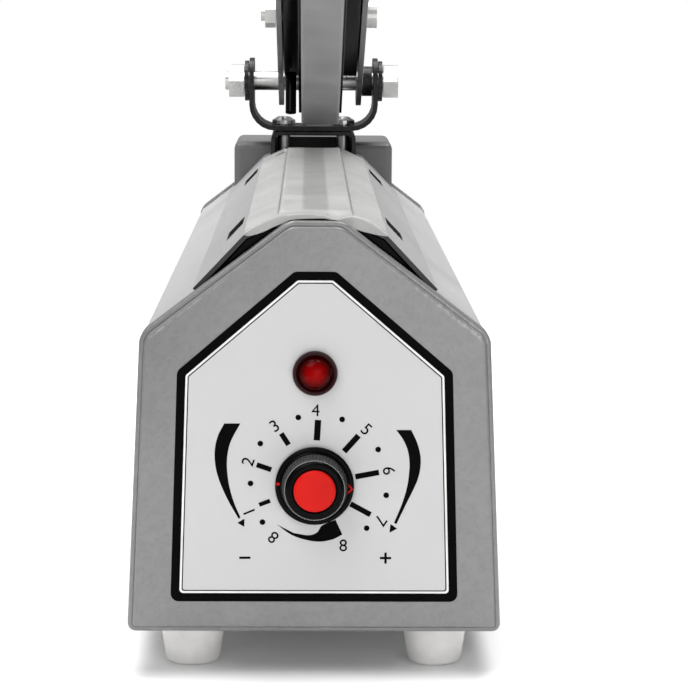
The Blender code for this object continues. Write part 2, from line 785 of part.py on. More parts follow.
def make_rear_block(root, paint):
    """The block behind the covers, over the roof, with a channel that the saddle stands in."""
    corners = offset_points(shell_corners(), -FIT_GAP)
    deck_x, deck_z = corners[2]
    base = height_on_roof(BLOCK_HALF_WIDTH, FIT_GAP)
    outline = [(-deck_x, deck_z), (-BLOCK_HALF_WIDTH, base)]
    outline += [(-BLOCK_HALF_WIDTH, BLOCK_TOP_Z), (BLOCK_HALF_WIDTH, BLOCK_TOP_Z)]
    outline += [(BLOCK_HALF_WIDTH, base), (deck_x, deck_z)]
    end = BODY_LENGTH - CAP_DEPTH - FIT_GAP
    block = add_object("rear_block", prism(outline, BLOCK_FRONT_Y, end), paint, root)
    bevel = block.modifiers.new("soft corners", "BEVEL")
    bevel.width = BLOCK_CORNER_RADIUS
    bevel.segments = BLOCK_BEVEL_SEGMENTS
    bevel.limit_method = "WEIGHT"
    mark_bevel(block, BLOCK_TOP_Z)
    half = SADDLE_HALF_WIDTH + FIT_GAP
    channel = rectangle(-half, half, DECK_Z - CUT_OVERRUN, BLOCK_TOP_Z + CUT_OVERRUN)
    stop = SADDLE_FRONT_Y + SADDLE_LENGTH + FIT_GAP
    solid = prism(channel, BLOCK_FRONT_Y - CUT_OVERRUN, stop)
    cut(block, add_object("saddle channel", solid, None, root))


def mark_bevel(obj, top):
    """Gives full bevel weight to every edge that touches the piece's top."""
    mesh = obj.data
    weights = mesh.attributes.new("bevel_weight_edge", "FLOAT", "EDGE")
    for edge in mesh.edges:
        low = min(mesh.vertices[i].co.z for i in edge.vertices)
        high = max(mesh.vertices[i].co.z for i in edge.vertices)
        is_top = high > top - MERGE_DISTANCE
        is_level_or_upright = low > top - MERGE_DISTANCE or is_upright(mesh, edge)
        weights.data[edge.index].value = 1.0 if is_top and is_level_or_upright else 0.0


def is_upright(mesh, edge):
    """Whether an edge runs straight up."""
    first, second = (mesh.vertices[i].co for i in edge.vertices)
    return (first.xy - second.xy).length < MERGE_DISTANCE


def make_label(root, plastic):
    """The bare front label, set in the cap's pocket."""
    outline = rounded(label_corners(), LABEL_CORNER_RADIUS)
    front = label_front_y()
    label = add_object("label_plate", prism(outline, front, front + LABEL_THICKNESS), plastic, root)
    back = front + LABEL_THICKNESS
    front_hole(label, "label lamp hole", LAMP_TUBE_RADIUS + FIT_GAP, 0.0, LAMP_Z, front, back, root)
    front_hole(label, "label timer hole", POT_BUSH_RADIUS + FIT_GAP, 0.0, KNOB_Z, front, back, root)


def make_lamp(root, chrome, lens_red, plastic):
    """The signal lamp: a bezel with a tube, a domed lens and the lamp body behind."""
    seat = label_front_y() - FIT_GAP
    bore = LAMP_LENS_RADIUS + RUNNING_GAP
    bezel = [
        (bore, seat - LAMP_BEZEL_HEIGHT),
        (LAMP_BEZEL_RADIUS - LAMP_BEZEL_HEIGHT / 2.0, seat - LAMP_BEZEL_HEIGHT),
        (LAMP_BEZEL_RADIUS, seat - LAMP_BEZEL_HEIGHT / 2.0),
        (LAMP_BEZEL_RADIUS, seat),
        (LAMP_TUBE_RADIUS, seat),
        (LAMP_TUBE_RADIUS, LAMP_TUBE_DEPTH),
        (bore, LAMP_TUBE_DEPTH),
    ]
    place = (0.0, 0.0, LAMP_Z)
    add_object("lamp_bezel", turned(bezel, "Y", closed=True), chrome, root, place, smooth=True)
    base = seat + LAMP_LENS_SINK
    edge = seat - LAMP_BEZEL_HEIGHT
    dome = [(0.0, base), (LAMP_LENS_RADIUS, base)]
    for k in range(DOME_STEPS + 1):
        angle = math.pi / 2.0 * k / DOME_STEPS
        dome.append((LAMP_LENS_RADIUS * math.cos(angle), edge - LAMP_LENS_DOME * math.sin(angle)))
    dome[-1] = (0.0, edge - LAMP_LENS_DOME)
    add_object("lamp_lens", turned(dome, "Y"), lens_red, root, place, smooth=True)
    back = base + FIT_GAP
    step = back + LAMP_BODY_LENGTH
    body = [
        (0.0, back),
        (LAMP_LENS_RADIUS, back),
        (LAMP_LENS_RADIUS, step),
        (LAMP_WIRE_RADIUS, step + LAMP_WIRE_RADIUS),
        (0.0, step + LAMP_WIRE_RADIUS),
    ]
    add_object("lamp_body", turned(body, "Y", SMALL_SIDES), plastic, root, place, smooth=True)


def fluted_section(radius):
    """A circle with a shallow groove at every flute."""
    points = []
    for i in range(KNOB_FLUTES * 2):
        angle = math.pi * i / KNOB_FLUTES
        reach = radius - KNOB_FLUTE_DEPTH * (i % 2)
        points.append((reach * math.cos(angle), reach * math.sin(angle)))
    return points


def make_timer(root, knob_empty, black, red, metal, plastic):
    """The timer: a fluted knob with a skirt and a coloured cap on the potentiometer's shaft."""
    seat = label_front_y() - FIT_GAP
    skirt_front = seat - KNOB_SKIRT_HEIGHT
    nose = seat - KNOB_HEIGHT
    knob = add_object(
        "timer_knob",
        loft([
            (fluted_section(KNOB_FOOT_RADIUS), seat - KNOB_SKIRT_HEIGHT / 2.0),
            (fluted_section(KNOB_NOSE_RADIUS), nose + KNOB_EDGE),
            (fluted_section(KNOB_NOSE_RADIUS - KNOB_EDGE), nose),
        ]),
        black,
        knob_empty,
    )
    skirt = [
        (0.0, seat),
        (KNOB_SKIRT_RADIUS, seat),
        (KNOB_SKIRT_RADIUS, skirt_front + KNOB_EDGE),
        (KNOB_SKIRT_RADIUS - KNOB_EDGE, skirt_front),
        (0.0, skirt_front),
    ]
    fuse(knob, add_object("knob skirt", turned(skirt, "Y"), None, knob_empty))
    recess_floor = seat - POT_NUT_HEIGHT - POT_SHAFT_RADIUS
    cap_back = nose + KNOB_CAP_THICKNESS - KNOB_CAP_PROUD
    shaft_front = cap_back + POT_SHAFT_RADIUS / 2.0
    recess = rod(POT_NUT_RADIUS + FIT_GAP, recess_floor, seat + CUT_OVERRUN, "Y")
    cut(knob, add_object("knob recess", recess, None, knob_empty))
    bore = rod(POT_SHAFT_RADIUS + FIT_GAP, shaft_front - FIT_GAP, seat, "Y", SMALL_SIDES)
    cut(knob, add_object("knob bore", bore, None, knob_empty))
    pocket = rod(KNOB_CAP_RADIUS + FIT_GAP, nose - CUT_OVERRUN, cap_back + FIT_GAP, "Y")
    cut(knob, add_object("cap pocket", pocket, None, knob_empty))
    front = nose - KNOB_CAP_PROUD
    cap = [
        (0.0, cap_back),
        (KNOB_CAP_RADIUS, cap_back),
        (KNOB_CAP_RADIUS, front + KNOB_EDGE),
        (KNOB_CAP_RADIUS - KNOB_EDGE, front),
        (0.0, front),
    ]
    add_object("knob_cap", turned(cap, "Y"), red, knob_empty, smooth=True)
    pot_front = CAP_DEPTH + FIT_GAP
    sink = pot_front + POT_SHAFT_SINK
    shaft = rod(POT_SHAFT_RADIUS, shaft_front, sink, "Y", SMALL_SIDES)
    add_object("pot_shaft", shaft, metal, knob_empty, smooth=True)
    place = (0.0, 0.0, KNOB_Z)
    bush_front = seat - POT_NUT_HEIGHT
    body = [
        (0.0, pot_front + POT_BODY_LENGTH),
        (POT_BODY_RADIUS, pot_front + POT_BODY_LENGTH),
        (POT_BODY_RADIUS, pot_front),
        (POT_BUSH_RADIUS, pot_front),
        (POT_BUSH_RADIUS, bush_front),
        (POT_SHAFT_RADIUS + RUNNING_GAP, bush_front),
        (POT_SHAFT_RADIUS + RUNNING_GAP, sink + FIT_GAP),
        (0.0, sink + FIT_GAP),
    ]
    add_object("potentiometer", turned(body, "Y"), metal, root, place, smooth=True)
    nut = ring(POT_NUT_RADIUS, POT_BUSH_RADIUS + RUNNING_GAP, bush_front, seat, "Y", HEX_SIDES * 4)
    add_object("pot_nut", nut, metal, root, place)
    make_board(root, plastic)


def make_board(root, plastic):
    """The timer's circuit board behind the potentiometer, with its relay and capacitor."""
    green = make_material("circuit board", (0.05, 0.22, 0.09), 0.5)
    blue = make_material("relay case", (0.03, 0.10, 0.35), 0.4)
    start = CAP_DEPTH + POT_BODY_LENGTH + 2.0 * FIT_GAP
    back = start + BOARD_THICKNESS
    outline = rectangle(-BOARD_HALF_WIDTH, BOARD_HALF_WIDTH, BOARD_BOTTOM_Z, BOARD_TOP_Z)
    add_object("timer_board", prism(outline, start, back), green, root)
    low = KNOB_Z - RELAY_HEIGHT / 2.0
    case = rectangle(-RELAY_WIDTH / 2.0, RELAY_WIDTH / 2.0, low, low + RELAY_HEIGHT)
    relay = prism(case, back + FIT_GAP, back + RELAY_DEPTH)
    add_object("relay", relay, blue, root, (RELAY_X, 0.0, 0.0))
    can = rod(CAPACITOR_RADIUS, back + FIT_GAP, back + CAPACITOR_LENGTH, "Y", SMALL_SIDES)
    add_object("capacitor", can, plastic, root, (CAPACITOR_X, 0.0, KNOB_Z), smooth=True)


def make_transformer(root, steel, copper):
    """The transformer: a windowed core, its winding and the strap that holds it down."""
    floor = BODY_BOTTOM_Z + BASE_PLATE_THICKNESS + FIT_GAP
    top = floor + CORE_HEIGHT
    half = CORE_WIDTH / 2.0
    start = TRANSFORMER_Y - CORE_STACK / 2.0
    outline = rectangle(-half, half, floor, top)
    core = add_object("transformer_core", prism(outline, start, start + CORE_STACK), steel, root)
    inner = half - CORE_LEG
    for side in SIDES:
        edges = sorted((side * CORE_LEG, side * inner))
        window = rectangle(*edges, floor + CORE_LEG, top - CORE_LEG)
        solid = prism(window, start - CUT_OVERRUN, start + CORE_STACK + CUT_OVERRUN)
        cut(core, add_object("core window %d" % side, solid, None, root))
    reach = inner - COIL_SIDE_CLEARANCE
    low = floor + CORE_LEG + FIT_GAP
    high = top - CORE_LEG - FIT_GAP
    deep = COIL_DEPTH / 2.0
    corners = rounded(rectangle(-reach, reach, -deep, deep), COIL_CORNER_RADIUS)
    place = (0.0, TRANSFORMER_Y, 0.0)
    coil = add_object("transformer_coil", prism(corners, low, high, "Z"), copper, root, place)
    leg = CORE_LEG + FIT_GAP
    stack = CORE_STACK / 2.0 + FIT_GAP
    opening = prism(rectangle(-leg, leg, -stack, stack), low - CUT_OVERRUN, high + CUT_OVERRUN, "Z")
    cut(coil, add_object("leg opening", opening, None, root, place))
    rise = top + FIT_GAP
    side_x = half + FIT_GAP
    path = [
        (side_x + STRAP_THICKNESS + STRAP_FOOT, floor + STRAP_THICKNESS),
        (side_x + STRAP_THICKNESS, floor + STRAP_THICKNESS),
        (side_x + STRAP_THICKNESS, rise + STRAP_THICKNESS),
    ]
    path = path + mirrored(path)
    strap = prism(sheet_outline(path, STRAP_THICKNESS), start, start + CORE_STACK)
    add_object("transformer_strap", strap, steel, root)


def make_hinge(root, black, zinc):
    """The saddle on the deck, the U bracket on it and the bolts that hold both."""
    floor = DECK_Z + FIT_GAP
    right = [(SADDLE_HALF_WIDTH, floor), (SADDLE_HALF_WIDTH, SADDLE_TOP_Z)]
    path = rounded(right + mirrored(right), SADDLE_BEND, is_open=True)
    start = SADDLE_FRONT_Y
    solid = prism(sheet_outline(path, SADDLE_WALL), start, start + SADDLE_LENGTH)
    saddle = add_object("hinge_saddle", solid, black, root)
    seat = SADDLE_TOP_Z + FIT_GAP
    left = [(-BRACKET_HALF_WIDTH, BRACKET_TOP_Z), (-BRACKET_HALF_WIDTH, seat)]
    path = rounded(left + mirrored(left), BRACKET_BEND, BEND_STEPS, is_open=True)
    start = PIVOT_Y - BRACKET_LENGTH / 2.0
    solid = prism(sheet_outline(path, BRACKET_WALL), start, start + BRACKET_LENGTH)
    bracket = add_object("hinge_bracket", solid, black, root)
    for end in SIDES:
        cut(bracket, bracket_corner(end, root))
    hole = PIVOT_RADIUS + RUNNING_GAP
    reach = BRACKET_HALF_WIDTH + CUT_OVERRUN
    axle_hole = add_object("axle hole", rod(hole, -reach, reach, "X"), None, root, (0.0, PIVOT_Y, PIVOT_Z))
    cut(bracket, axle_hole)
    low = SADDLE_TOP_Z - SADDLE_WALL
    for side in SIDES:
        hole = BOLT_RADIUS + FIT_GAP
        name = "saddle bolt hole %d" % side
        upright_hole(saddle, name, hole, side * BOLT_X, PIVOT_Y, low, SADDLE_TOP_Z, root)
        name = "bracket bolt hole %d" % side
        upright_hole(bracket, name, hole, side * BOLT_X, PIVOT_Y, seat, seat + BRACKET_WALL, root)
        make_bracket_bolt(side, seat + BRACKET_WALL + FIT_GAP, root, zinc)


def bracket_corner(end, root):
    """The waste outside the round shoulder at one end of the bracket's cheeks."""
    radius = BRACKET_TOP_RADIUS
    centre_y = PIVOT_Y + end * (BRACKET_LENGTH / 2.0 - radius)
    centre_z = BRACKET_TOP_Z - radius
    points = [(centre_y + end * (radius + CUT_OVERRUN), centre_z)]
    points.append((centre_y + end * (radius + CUT_OVERRUN), BRACKET_TOP_Z + CUT_OVERRUN))
    points.append((centre_y, BRACKET_TOP_Z + CUT_OVERRUN))
    for k in range(BEND_STEPS + 1):
        angle = math.pi / 2.0 * (1.0 - k / BEND_STEPS)
        points.append((centre_y + end * radius * math.cos(angle), centre_z + radius * math.sin(angle)))
    reach = BRACKET_HALF_WIDTH + CUT_OVERRUN
    return add_object("cheek corner %d" % end, prism(points, -reach, reach, "X"), None, root)


def make_bracket_bolt(side, seat, root, zinc):
    """One bolt through bracket, saddle and deck, and its nut inside the body."""
    hand = "left" if side < 0 else "right"
    under = DECK_Z - SHELL_WALL - FIT_GAP
    tail = under - NUT_HEIGHT - BOLT_TAIL
    profile = [
        (0.0, tail),
        (BOLT_RADIUS, tail),
        (BOLT_RADIUS, seat),
        (BOLT_HEAD_RADIUS, seat),
        (BOLT_HEAD_RADIUS, seat + BOLT_HEAD_HEIGHT / 2.0),
        (BOLT_HEAD_RADIUS / 2.0, seat + BOLT_HEAD_HEIGHT),
        (0.0, seat + BOLT_HEAD_HEIGHT),
    ]
    place = (side * BOLT_X, PIVOT_Y, 0.0)
    bolt = turned(profile, sides=SMALL_SIDES)
    add_object("bracket_bolt_" + hand, bolt, zinc, root, place, smooth=True)
    nut = hex_nut(NUT_RADIUS, BOLT_RADIUS + RUNNING_GAP, under - NUT_HEIGHT, under, "Z")
    add_object("bracket_nut_" + hand, nut, zinc, root, place)


def hex_points(radius):
    """The six corners of a nut."""
    return [
        (radius * math.cos(math.tau * k / HEX_SIDES), radius * math.sin(math.tau * k / HEX_SIDES))
        for k in range(HEX_SIDES)
    ]


def hex_nut(radius, bore, start, end, axis):
    """A hexagonal nut whose round bore has four sides for each flat."""
    sides = HEX_SIDES * NUT_BORE_RATIO
    outer = []
    corners = hex_points(radius)
    for k in range(sides):
        first = Vector(corners[k // NUT_BORE_RATIO])
        second = Vector(corners[(k // NUT_BORE_RATIO + 1) % HEX_SIDES])
        outer.append(tuple(first.lerp(second, (k % NUT_BORE_RATIO) / NUT_BORE_RATIO)))
    inner = [
        (bore * math.cos(math.tau * k / sides), bore * math.sin(math.tau * k / sides))
        for k in range(sides)
    ]
    bm = bmesh.new()
    loops = []
    for outline, along in ((inner, start), (outer, start), (outer, end), (inner, end)):
        loops.append([bm.verts.new(to_plane(axis, a, b, along)) for a, b in outline])
    for low, high in zip(loops, loops[1:] + loops[:1]):
        for i in range(sides):
            j = (i + 1) % sides
            bm.faces.new((low[i], low[j], high[j], high[i]))
    return bm


def make_axle(root, zinc, black):
    """The pivot bolt with its nut, its washers and the spacer on the arm's right."""
    washer = BRACKET_HALF_WIDTH + FIT_GAP
    hex_start = washer + WASHER_THICKNESS + FIT_GAP
    place = (0.0, PIVOT_Y, PIVOT_Z)
    tail = -hex_start - PIVOT_HEX_HEIGHT - PIVOT_TAIL
    shank = rod(PIVOT_RADIUS, tail, hex_start + MERGE_DISTANCE, "X")
    shank = add_object("pivot_bolt", shank, zinc, root, place)
    head = prism(hex_points(PIVOT_HEX_RADIUS), hex_start, hex_start + PIVOT_HEX_HEIGHT, "X")
    fuse(shank, add_object("pivot head", head, None, root, place))
    bore = PIVOT_RADIUS + RUNNING_GAP
    nut = hex_nut(PIVOT_HEX_RADIUS, bore, -hex_start - PIVOT_HEX_HEIGHT, -hex_start, "X")
    add_object("pivot_nut", nut, zinc, root, place)
    for hand, side in (("left", -1), ("right", 1)):
        near, far = sorted((side * washer, side * (washer + WASHER_THICKNESS)))
        plate = ring(WASHER_RADIUS, bore, near, far, "X")
        add_object("pivot_washer_" + hand, plate, black, root, place, smooth=True)
    start = ARM_X + ARM_WIDTH / 2.0 + FIT_GAP
    end = BRACKET_HALF_WIDTH - BRACKET_WALL - FIT_GAP
    spacer = ring(SPACER_RADIUS, bore, start, end, "X")
    add_object("pivot_spacer", spacer, black, root, place, smooth=True)


def spring_points():
    """The return spring's centre line: a leg down to the bracket, the turns, a leg up the arm."""
    width = SPRING_TURNS * SPRING_PITCH
    count = SPRING_TURNS * SPRING_POINTS_PER_TURN
    down = math.radians(SPRING_LOW_LEG_DEG)
    total = math.tau * SPRING_TURNS + math.radians(SPRING_HIGH_LEG_DEG) - down
    points = []
    for k in range(count + 1):
        angle = down + total * k / count
        x = ARM_X - width / 2.0 + width * k / count
        points.append(Vector((x, SPRING_RADIUS * math.cos(angle), SPRING_RADIUS * math.sin(angle))))
    first = Vector((0.0, math.sin(down), -math.cos(down)))
    up = down + total
    last = Vector((0.0, -math.sin(up), math.cos(up)))
    floor = SADDLE_TOP_Z + BRACKET_WALL + 2.0 * FIT_GAP
    points.insert(0, points[0] + first * (PIVOT_Z - floor))
    points.append(points[-1] + last * SPRING_LEG)
    return points


def least_self_gap(points, wire):
    """The least distance between the tube's surfaces on points a turn or more apart."""
    least = None
    for i, first in enumerate(points):
        for second in points[i + SPRING_POINTS_PER_TURN // 2:]:
            gap = (first - second).length - wire
            if least is None or gap < least:
                least = gap
    return least


def make_spring(root, steel):
    """The coiled return spring round the pivot bolt, one unbroken tube."""
    points = spring_points()
    curve = bpy.data.curves.new("return_spring", "CURVE")
    curve.dimensions = "3D"
    curve.bevel_depth = SPRING_WIRE / 2.0
    curve.bevel_resolution = 1
    curve.use_fill_caps = True
    spline = curve.splines.new("POLY")
    spline.points.add(len(points) - 1)
    for target, point in zip(spline.points, points):
        target.co = (*point, 1.0)
    curve.materials.append(steel)
    spring = bpy.data.objects.new("return_spring", curve)
    bpy.context.collection.objects.link(spring)
    spring.parent = root
    spring.location = (0.0, PIVOT_Y, PIVOT_Z)
    print("return spring: least gap to itself %.2f mm" % (least_self_gap(points, SPRING_WIRE) * 1000))


def arm_side_outline():
    """An arm wall seen from the side as (Y, Z) about the pivot, with its round rear end."""
    half = ARM_HEIGHT / 2.0
    points = [(-ARM_LENGTH, half), (-ARM_LENGTH, -half)]
    for k in range(ARM_END_STEPS + 1):
        angle = math.pi * (k / ARM_END_STEPS) - math.pi / 2.0
        points.append((half * math.cos(angle), half * math.sin(angle)))
    return points


def make_arm(arm, steel, black, rubber, zinc):
    """The press arm: a channel, the carrier inside it and the sealing strip under that."""
    half = ARM_WIDTH / 2.0
    channel = add_object("arm_channel", prism(arm_side_outline(), -half, half, "X"), steel, arm)
    inner = half - ARM_WALL
    low = -ARM_HEIGHT
    web = ARM_HEIGHT / 2.0 - ARM_WALL
    hollow = prism(rectangle(-inner, inner, low, web), -ARM_LENGTH - CUT_OVERRUN, ARM_HEIGHT)
    cut(channel, add_object("arm hollow", hollow, None, arm))
    notch = prism(rectangle(-inner, inner, low, ARM_HEIGHT), -ARM_WEB_START, ARM_HEIGHT)
    cut(channel, add_object("arm notch", notch, None, arm))
    axle = rod(PIVOT_RADIUS + RUNNING_GAP, -ARM_WIDTH, ARM_WIDTH, "X")
    cut(channel, add_object("arm axle hole", axle, None, arm))
    carrier_low = CARRIER_DROP - ARM_HEIGHT / 2.0
    block = rectangle(FIT_GAP - inner, inner - FIT_GAP, carrier_low, web - FIT_GAP)
    carrier = prism(block, -CARRIER_START - CARRIER_LENGTH, -CARRIER_START)
    carrier = add_object("strip_carrier", carrier, black, arm)
    rib = rectangle(-RIB_HALF_WIDTH, RIB_HALF_WIDTH, -RIB_BOTTOM, carrier_low + RIB_ROOT)
    rib = prism(rib, -CARRIER_START - CARRIER_LENGTH, -RIB_START)
    fuse(carrier, add_object("strip rib", rib, None, arm))
    corners = [
        (-STRIP_HALF_WIDTH, -RIB_BOTTOM - FIT_GAP),
        (-STRIP_HALF_WIDTH, -STRIP_BOTTOM),
        (STRIP_HALF_WIDTH, -STRIP_BOTTOM),
        (STRIP_HALF_WIDTH, -RIB_BOTTOM - FIT_GAP),
    ]
    section = rounded(corners, STRIP_EDGE_RADIUS, is_open=True)
    strip_end = -CARRIER_START - CARRIER_LENGTH + STRIP_END_INSET
    strip = prism(section, strip_end, -RIB_START - STRIP_END_INSET)
    add_object("silicone_strip", strip, rubber, arm)
    for name, reach, extra in (("rear", CROSS_BOLT_REAR, 0.0), ("front", CROSS_BOLT_FRONT, HANDLE_WALL)):
        outer = half + FIT_GAP + (extra + FIT_GAP if extra else 0.0)
        make_cross_bolt(name, reach, outer, (channel, carrier), arm, zinc)
    return channel


def make_cross_bolt(name, reach, outer, pierced, arm, zinc):
    """A bolt across the arm with its nut, through every piece named in pierced."""
    place = (0.0, -reach, 0.0)
    tail = -outer - NUT_HEIGHT - CROSS_TAIL
    profile = [
        (0.0, tail),
        (CROSS_BOLT_RADIUS, tail),
        (CROSS_BOLT_RADIUS, outer),
        (CROSS_HEAD_RADIUS, outer),
        (CROSS_HEAD_RADIUS, outer + CROSS_HEAD_HEIGHT),
        (0.0, outer + CROSS_HEAD_HEIGHT),
    ]
    bolt = turned(profile, "X", SMALL_SIDES)
    add_object("cross_bolt_" + name, bolt, zinc, arm, place, smooth=True)
    bore = CROSS_BOLT_RADIUS + RUNNING_GAP
    nut = hex_nut(NUT_RADIUS, bore, -outer - NUT_HEIGHT, -outer, "X")
    add_object("cross_nut_" + name, nut, zinc, arm, place)
    far = outer + HANDLE_WALL
    for i, piece in enumerate(pierced):
        hole = rod(CROSS_BOLT_RADIUS + FIT_GAP, -far, far, "X", SMALL_SIDES)
        cut(piece, add_object("%s cross hole %d" % (name, i), hole, None, arm, place))


def handle_outline():
    """The handle seen from the side, as (Y, Z) about the pivot: a raised back and a low nose."""
    length = HANDLE_TIP - HANDLE_START
    return [
        (-HANDLE_START, -HANDLE_SKIRT),
        (-HANDLE_START, ARM_HEIGHT / 2.0 + HANDLE_WALL),
        (-HANDLE_START - length * HANDLE_RISE_SHARE, HANDLE_TOP),
        (-HANDLE_TIP + length * HANDLE_BROW_SHARE, HANDLE_TOP),
        (-HANDLE_TIP, HANDLE_TOP * HANDLE_BROW_SHARE),
        (-HANDLE_TIP, -HANDLE_NOSE_BOTTOM + HANDLE_RADIUS),
        (-HANDLE_TIP + HANDLE_RADIUS, -HANDLE_NOSE_BOTTOM),
        (-ARM_LENGTH - HANDLE_WALL, -HANDLE_NOSE_BOTTOM),
        (-ARM_LENGTH, -HANDLE_SKIRT),
    ]


def make_handle(arm, black):
    """The moulded grip that caps the arm's front end, with a pocket for the channel."""
    half = ARM_WIDTH / 2.0 + FIT_GAP
    outer = half + HANDLE_WALL
    grip = add_object("handle", prism(handle_outline(), -outer, outer, "X"), black, arm)
    bevel = grip.modifiers.new("soft edges", "BEVEL")
    bevel.width = HANDLE_BEVEL
    bevel.segments = HANDLE_BEVEL_SEGMENTS
    bevel.limit_method = "ANGLE"
    bevel.angle_limit = math.radians(HANDLE_BEVEL_LIMIT_DEG)
    top = ARM_HEIGHT / 2.0 + FIT_GAP
    front = -ARM_LENGTH - FIT_GAP
    mouth = rectangle(-half, half, -HANDLE_NOSE_BOTTOM - HANDLE_WALL, top)
    pocket = prism(mouth, front, CUT_OVERRUN - HANDLE_START)
    cut(grip, add_object("handle pocket", pocket, None, arm))
    hole = rod(CROSS_BOLT_RADIUS + FIT_GAP, -ARM_WIDTH, ARM_WIDTH, "X", SMALL_SIDES)
    cut(grip, add_object("handle bolt hole", hole, None, arm, (0.0, -CROSS_BOLT_FRONT, 0.0)))


def switch_place():
    """Where the switch's plunger stands under the closed arm."""
    return ARM_X + SWITCH_X, PIVOT_Y - SWITCH_REACH


def make_switch(root, plunger, arm, black, steel, white):
    """The switch: a plunger in a guide on the deck, the switch under it and the arm's pusher."""
    x, y = switch_place()
    guide_low = DECK_Z - SHELL_WALL
    seat = DECK_Z + FIT_GAP
    bore = PLUNGER_RADIUS + RUNNING_GAP
    guide = [
        (bore, guide_low),
        (GUIDE_NECK_RADIUS, guide_low),
        (GUIDE_NECK_RADIUS, seat),
        (GUIDE_RADIUS, seat),
        (GUIDE_RADIUS, seat + GUIDE_HEIGHT),
        (bore, seat + GUIDE_HEIGHT),
    ]
    bush = turned(guide, sides=SMALL_SIDES, closed=True)
    add_object("plunger_guide", bush, black, root, (x, y, 0.0), smooth=True)
    flange_top = guide_low - FIT_GAP
    tail = flange_top - PLUNGER_FLANGE - PLUNGER_TAIL
    stem = [
        (0.0, tail),
        (PLUNGER_RADIUS, tail),
        (PLUNGER_RADIUS, flange_top - PLUNGER_FLANGE),
        (PLUNGER_FLANGE_RADIUS, flange_top - PLUNGER_FLANGE),
        (PLUNGER_FLANGE_RADIUS, flange_top),
        (PLUNGER_RADIUS, flange_top),
        (PLUNGER_RADIUS, PLUNGER_TOP_Z - RUNNING_GAP),
        (PLUNGER_RADIUS - RUNNING_GAP, PLUNGER_TOP_Z),
        (0.0, PLUNGER_TOP_Z),
    ]
    add_object("switch_plunger", turned(stem, sides=SMALL_SIDES), white, plunger, smooth=True)
    top = tail - PLUNGER_TRAVEL - FIT_GAP
    case_y = y - MICROSWITCH_LENGTH / 2.0
    half = MICROSWITCH_WIDTH / 2.0
    case = rectangle(x - half, x + half, top - MICROSWITCH_HEIGHT, top)
    add_object("microswitch", prism(case, case_y, case_y + MICROSWITCH_LENGTH), black, root)
    plate_x = x - half - FIT_GAP
    hang = DECK_Z - SHELL_WALL - FIT_GAP
    deck_x = shell_corners()[2][0]
    flange_end = SWITCH_SIDE_INSET - deck_x
    path = [(plate_x, top - MICROSWITCH_HEIGHT), (plate_x, hang), (flange_end, hang)]
    plate = prism(sheet_outline(path, SWITCH_PLATE), case_y, case_y + MICROSWITCH_LENGTH)
    add_object("switch_bracket", plate, steel, root)
    closed_low = PLUNGER_TOP_Z + FIT_GAP - PIVOT_Z
    pusher_top = CARRIER_DROP - ARM_HEIGHT / 2.0 - FIT_GAP
    pusher = rod(PUSHER_RADIUS, closed_low, pusher_top, sides=SMALL_SIDES)
    add_object("switch_pusher", pusher, white, arm, (SWITCH_X, -SWITCH_REACH, 0.0), smooth=True)


def set_origin(root):
    """Moves the model so that the origin lies under the middle of its length."""
    bpy.context.view_layer.update()
    depsgraph = bpy.context.evaluated_depsgraph_get()
    reach = []
    for obj in bpy.data.objects:
        if obj.type in {"MESH", "CURVE"} and not obj.hide_render:
            shape = obj.evaluated_get(depsgraph)
            mesh = shape.to_mesh()
            reach += [(shape.matrix_world @ vertex.co).y for vertex in mesh.vertices]
            shape.to_mesh_clear()
    root.location.y = -(min(reach) + max(reach)) / 2.0
    print("pivot at Y %.6f, front face at Y %.6f" % (PIVOT_Y + root.location.y, root.location.y))


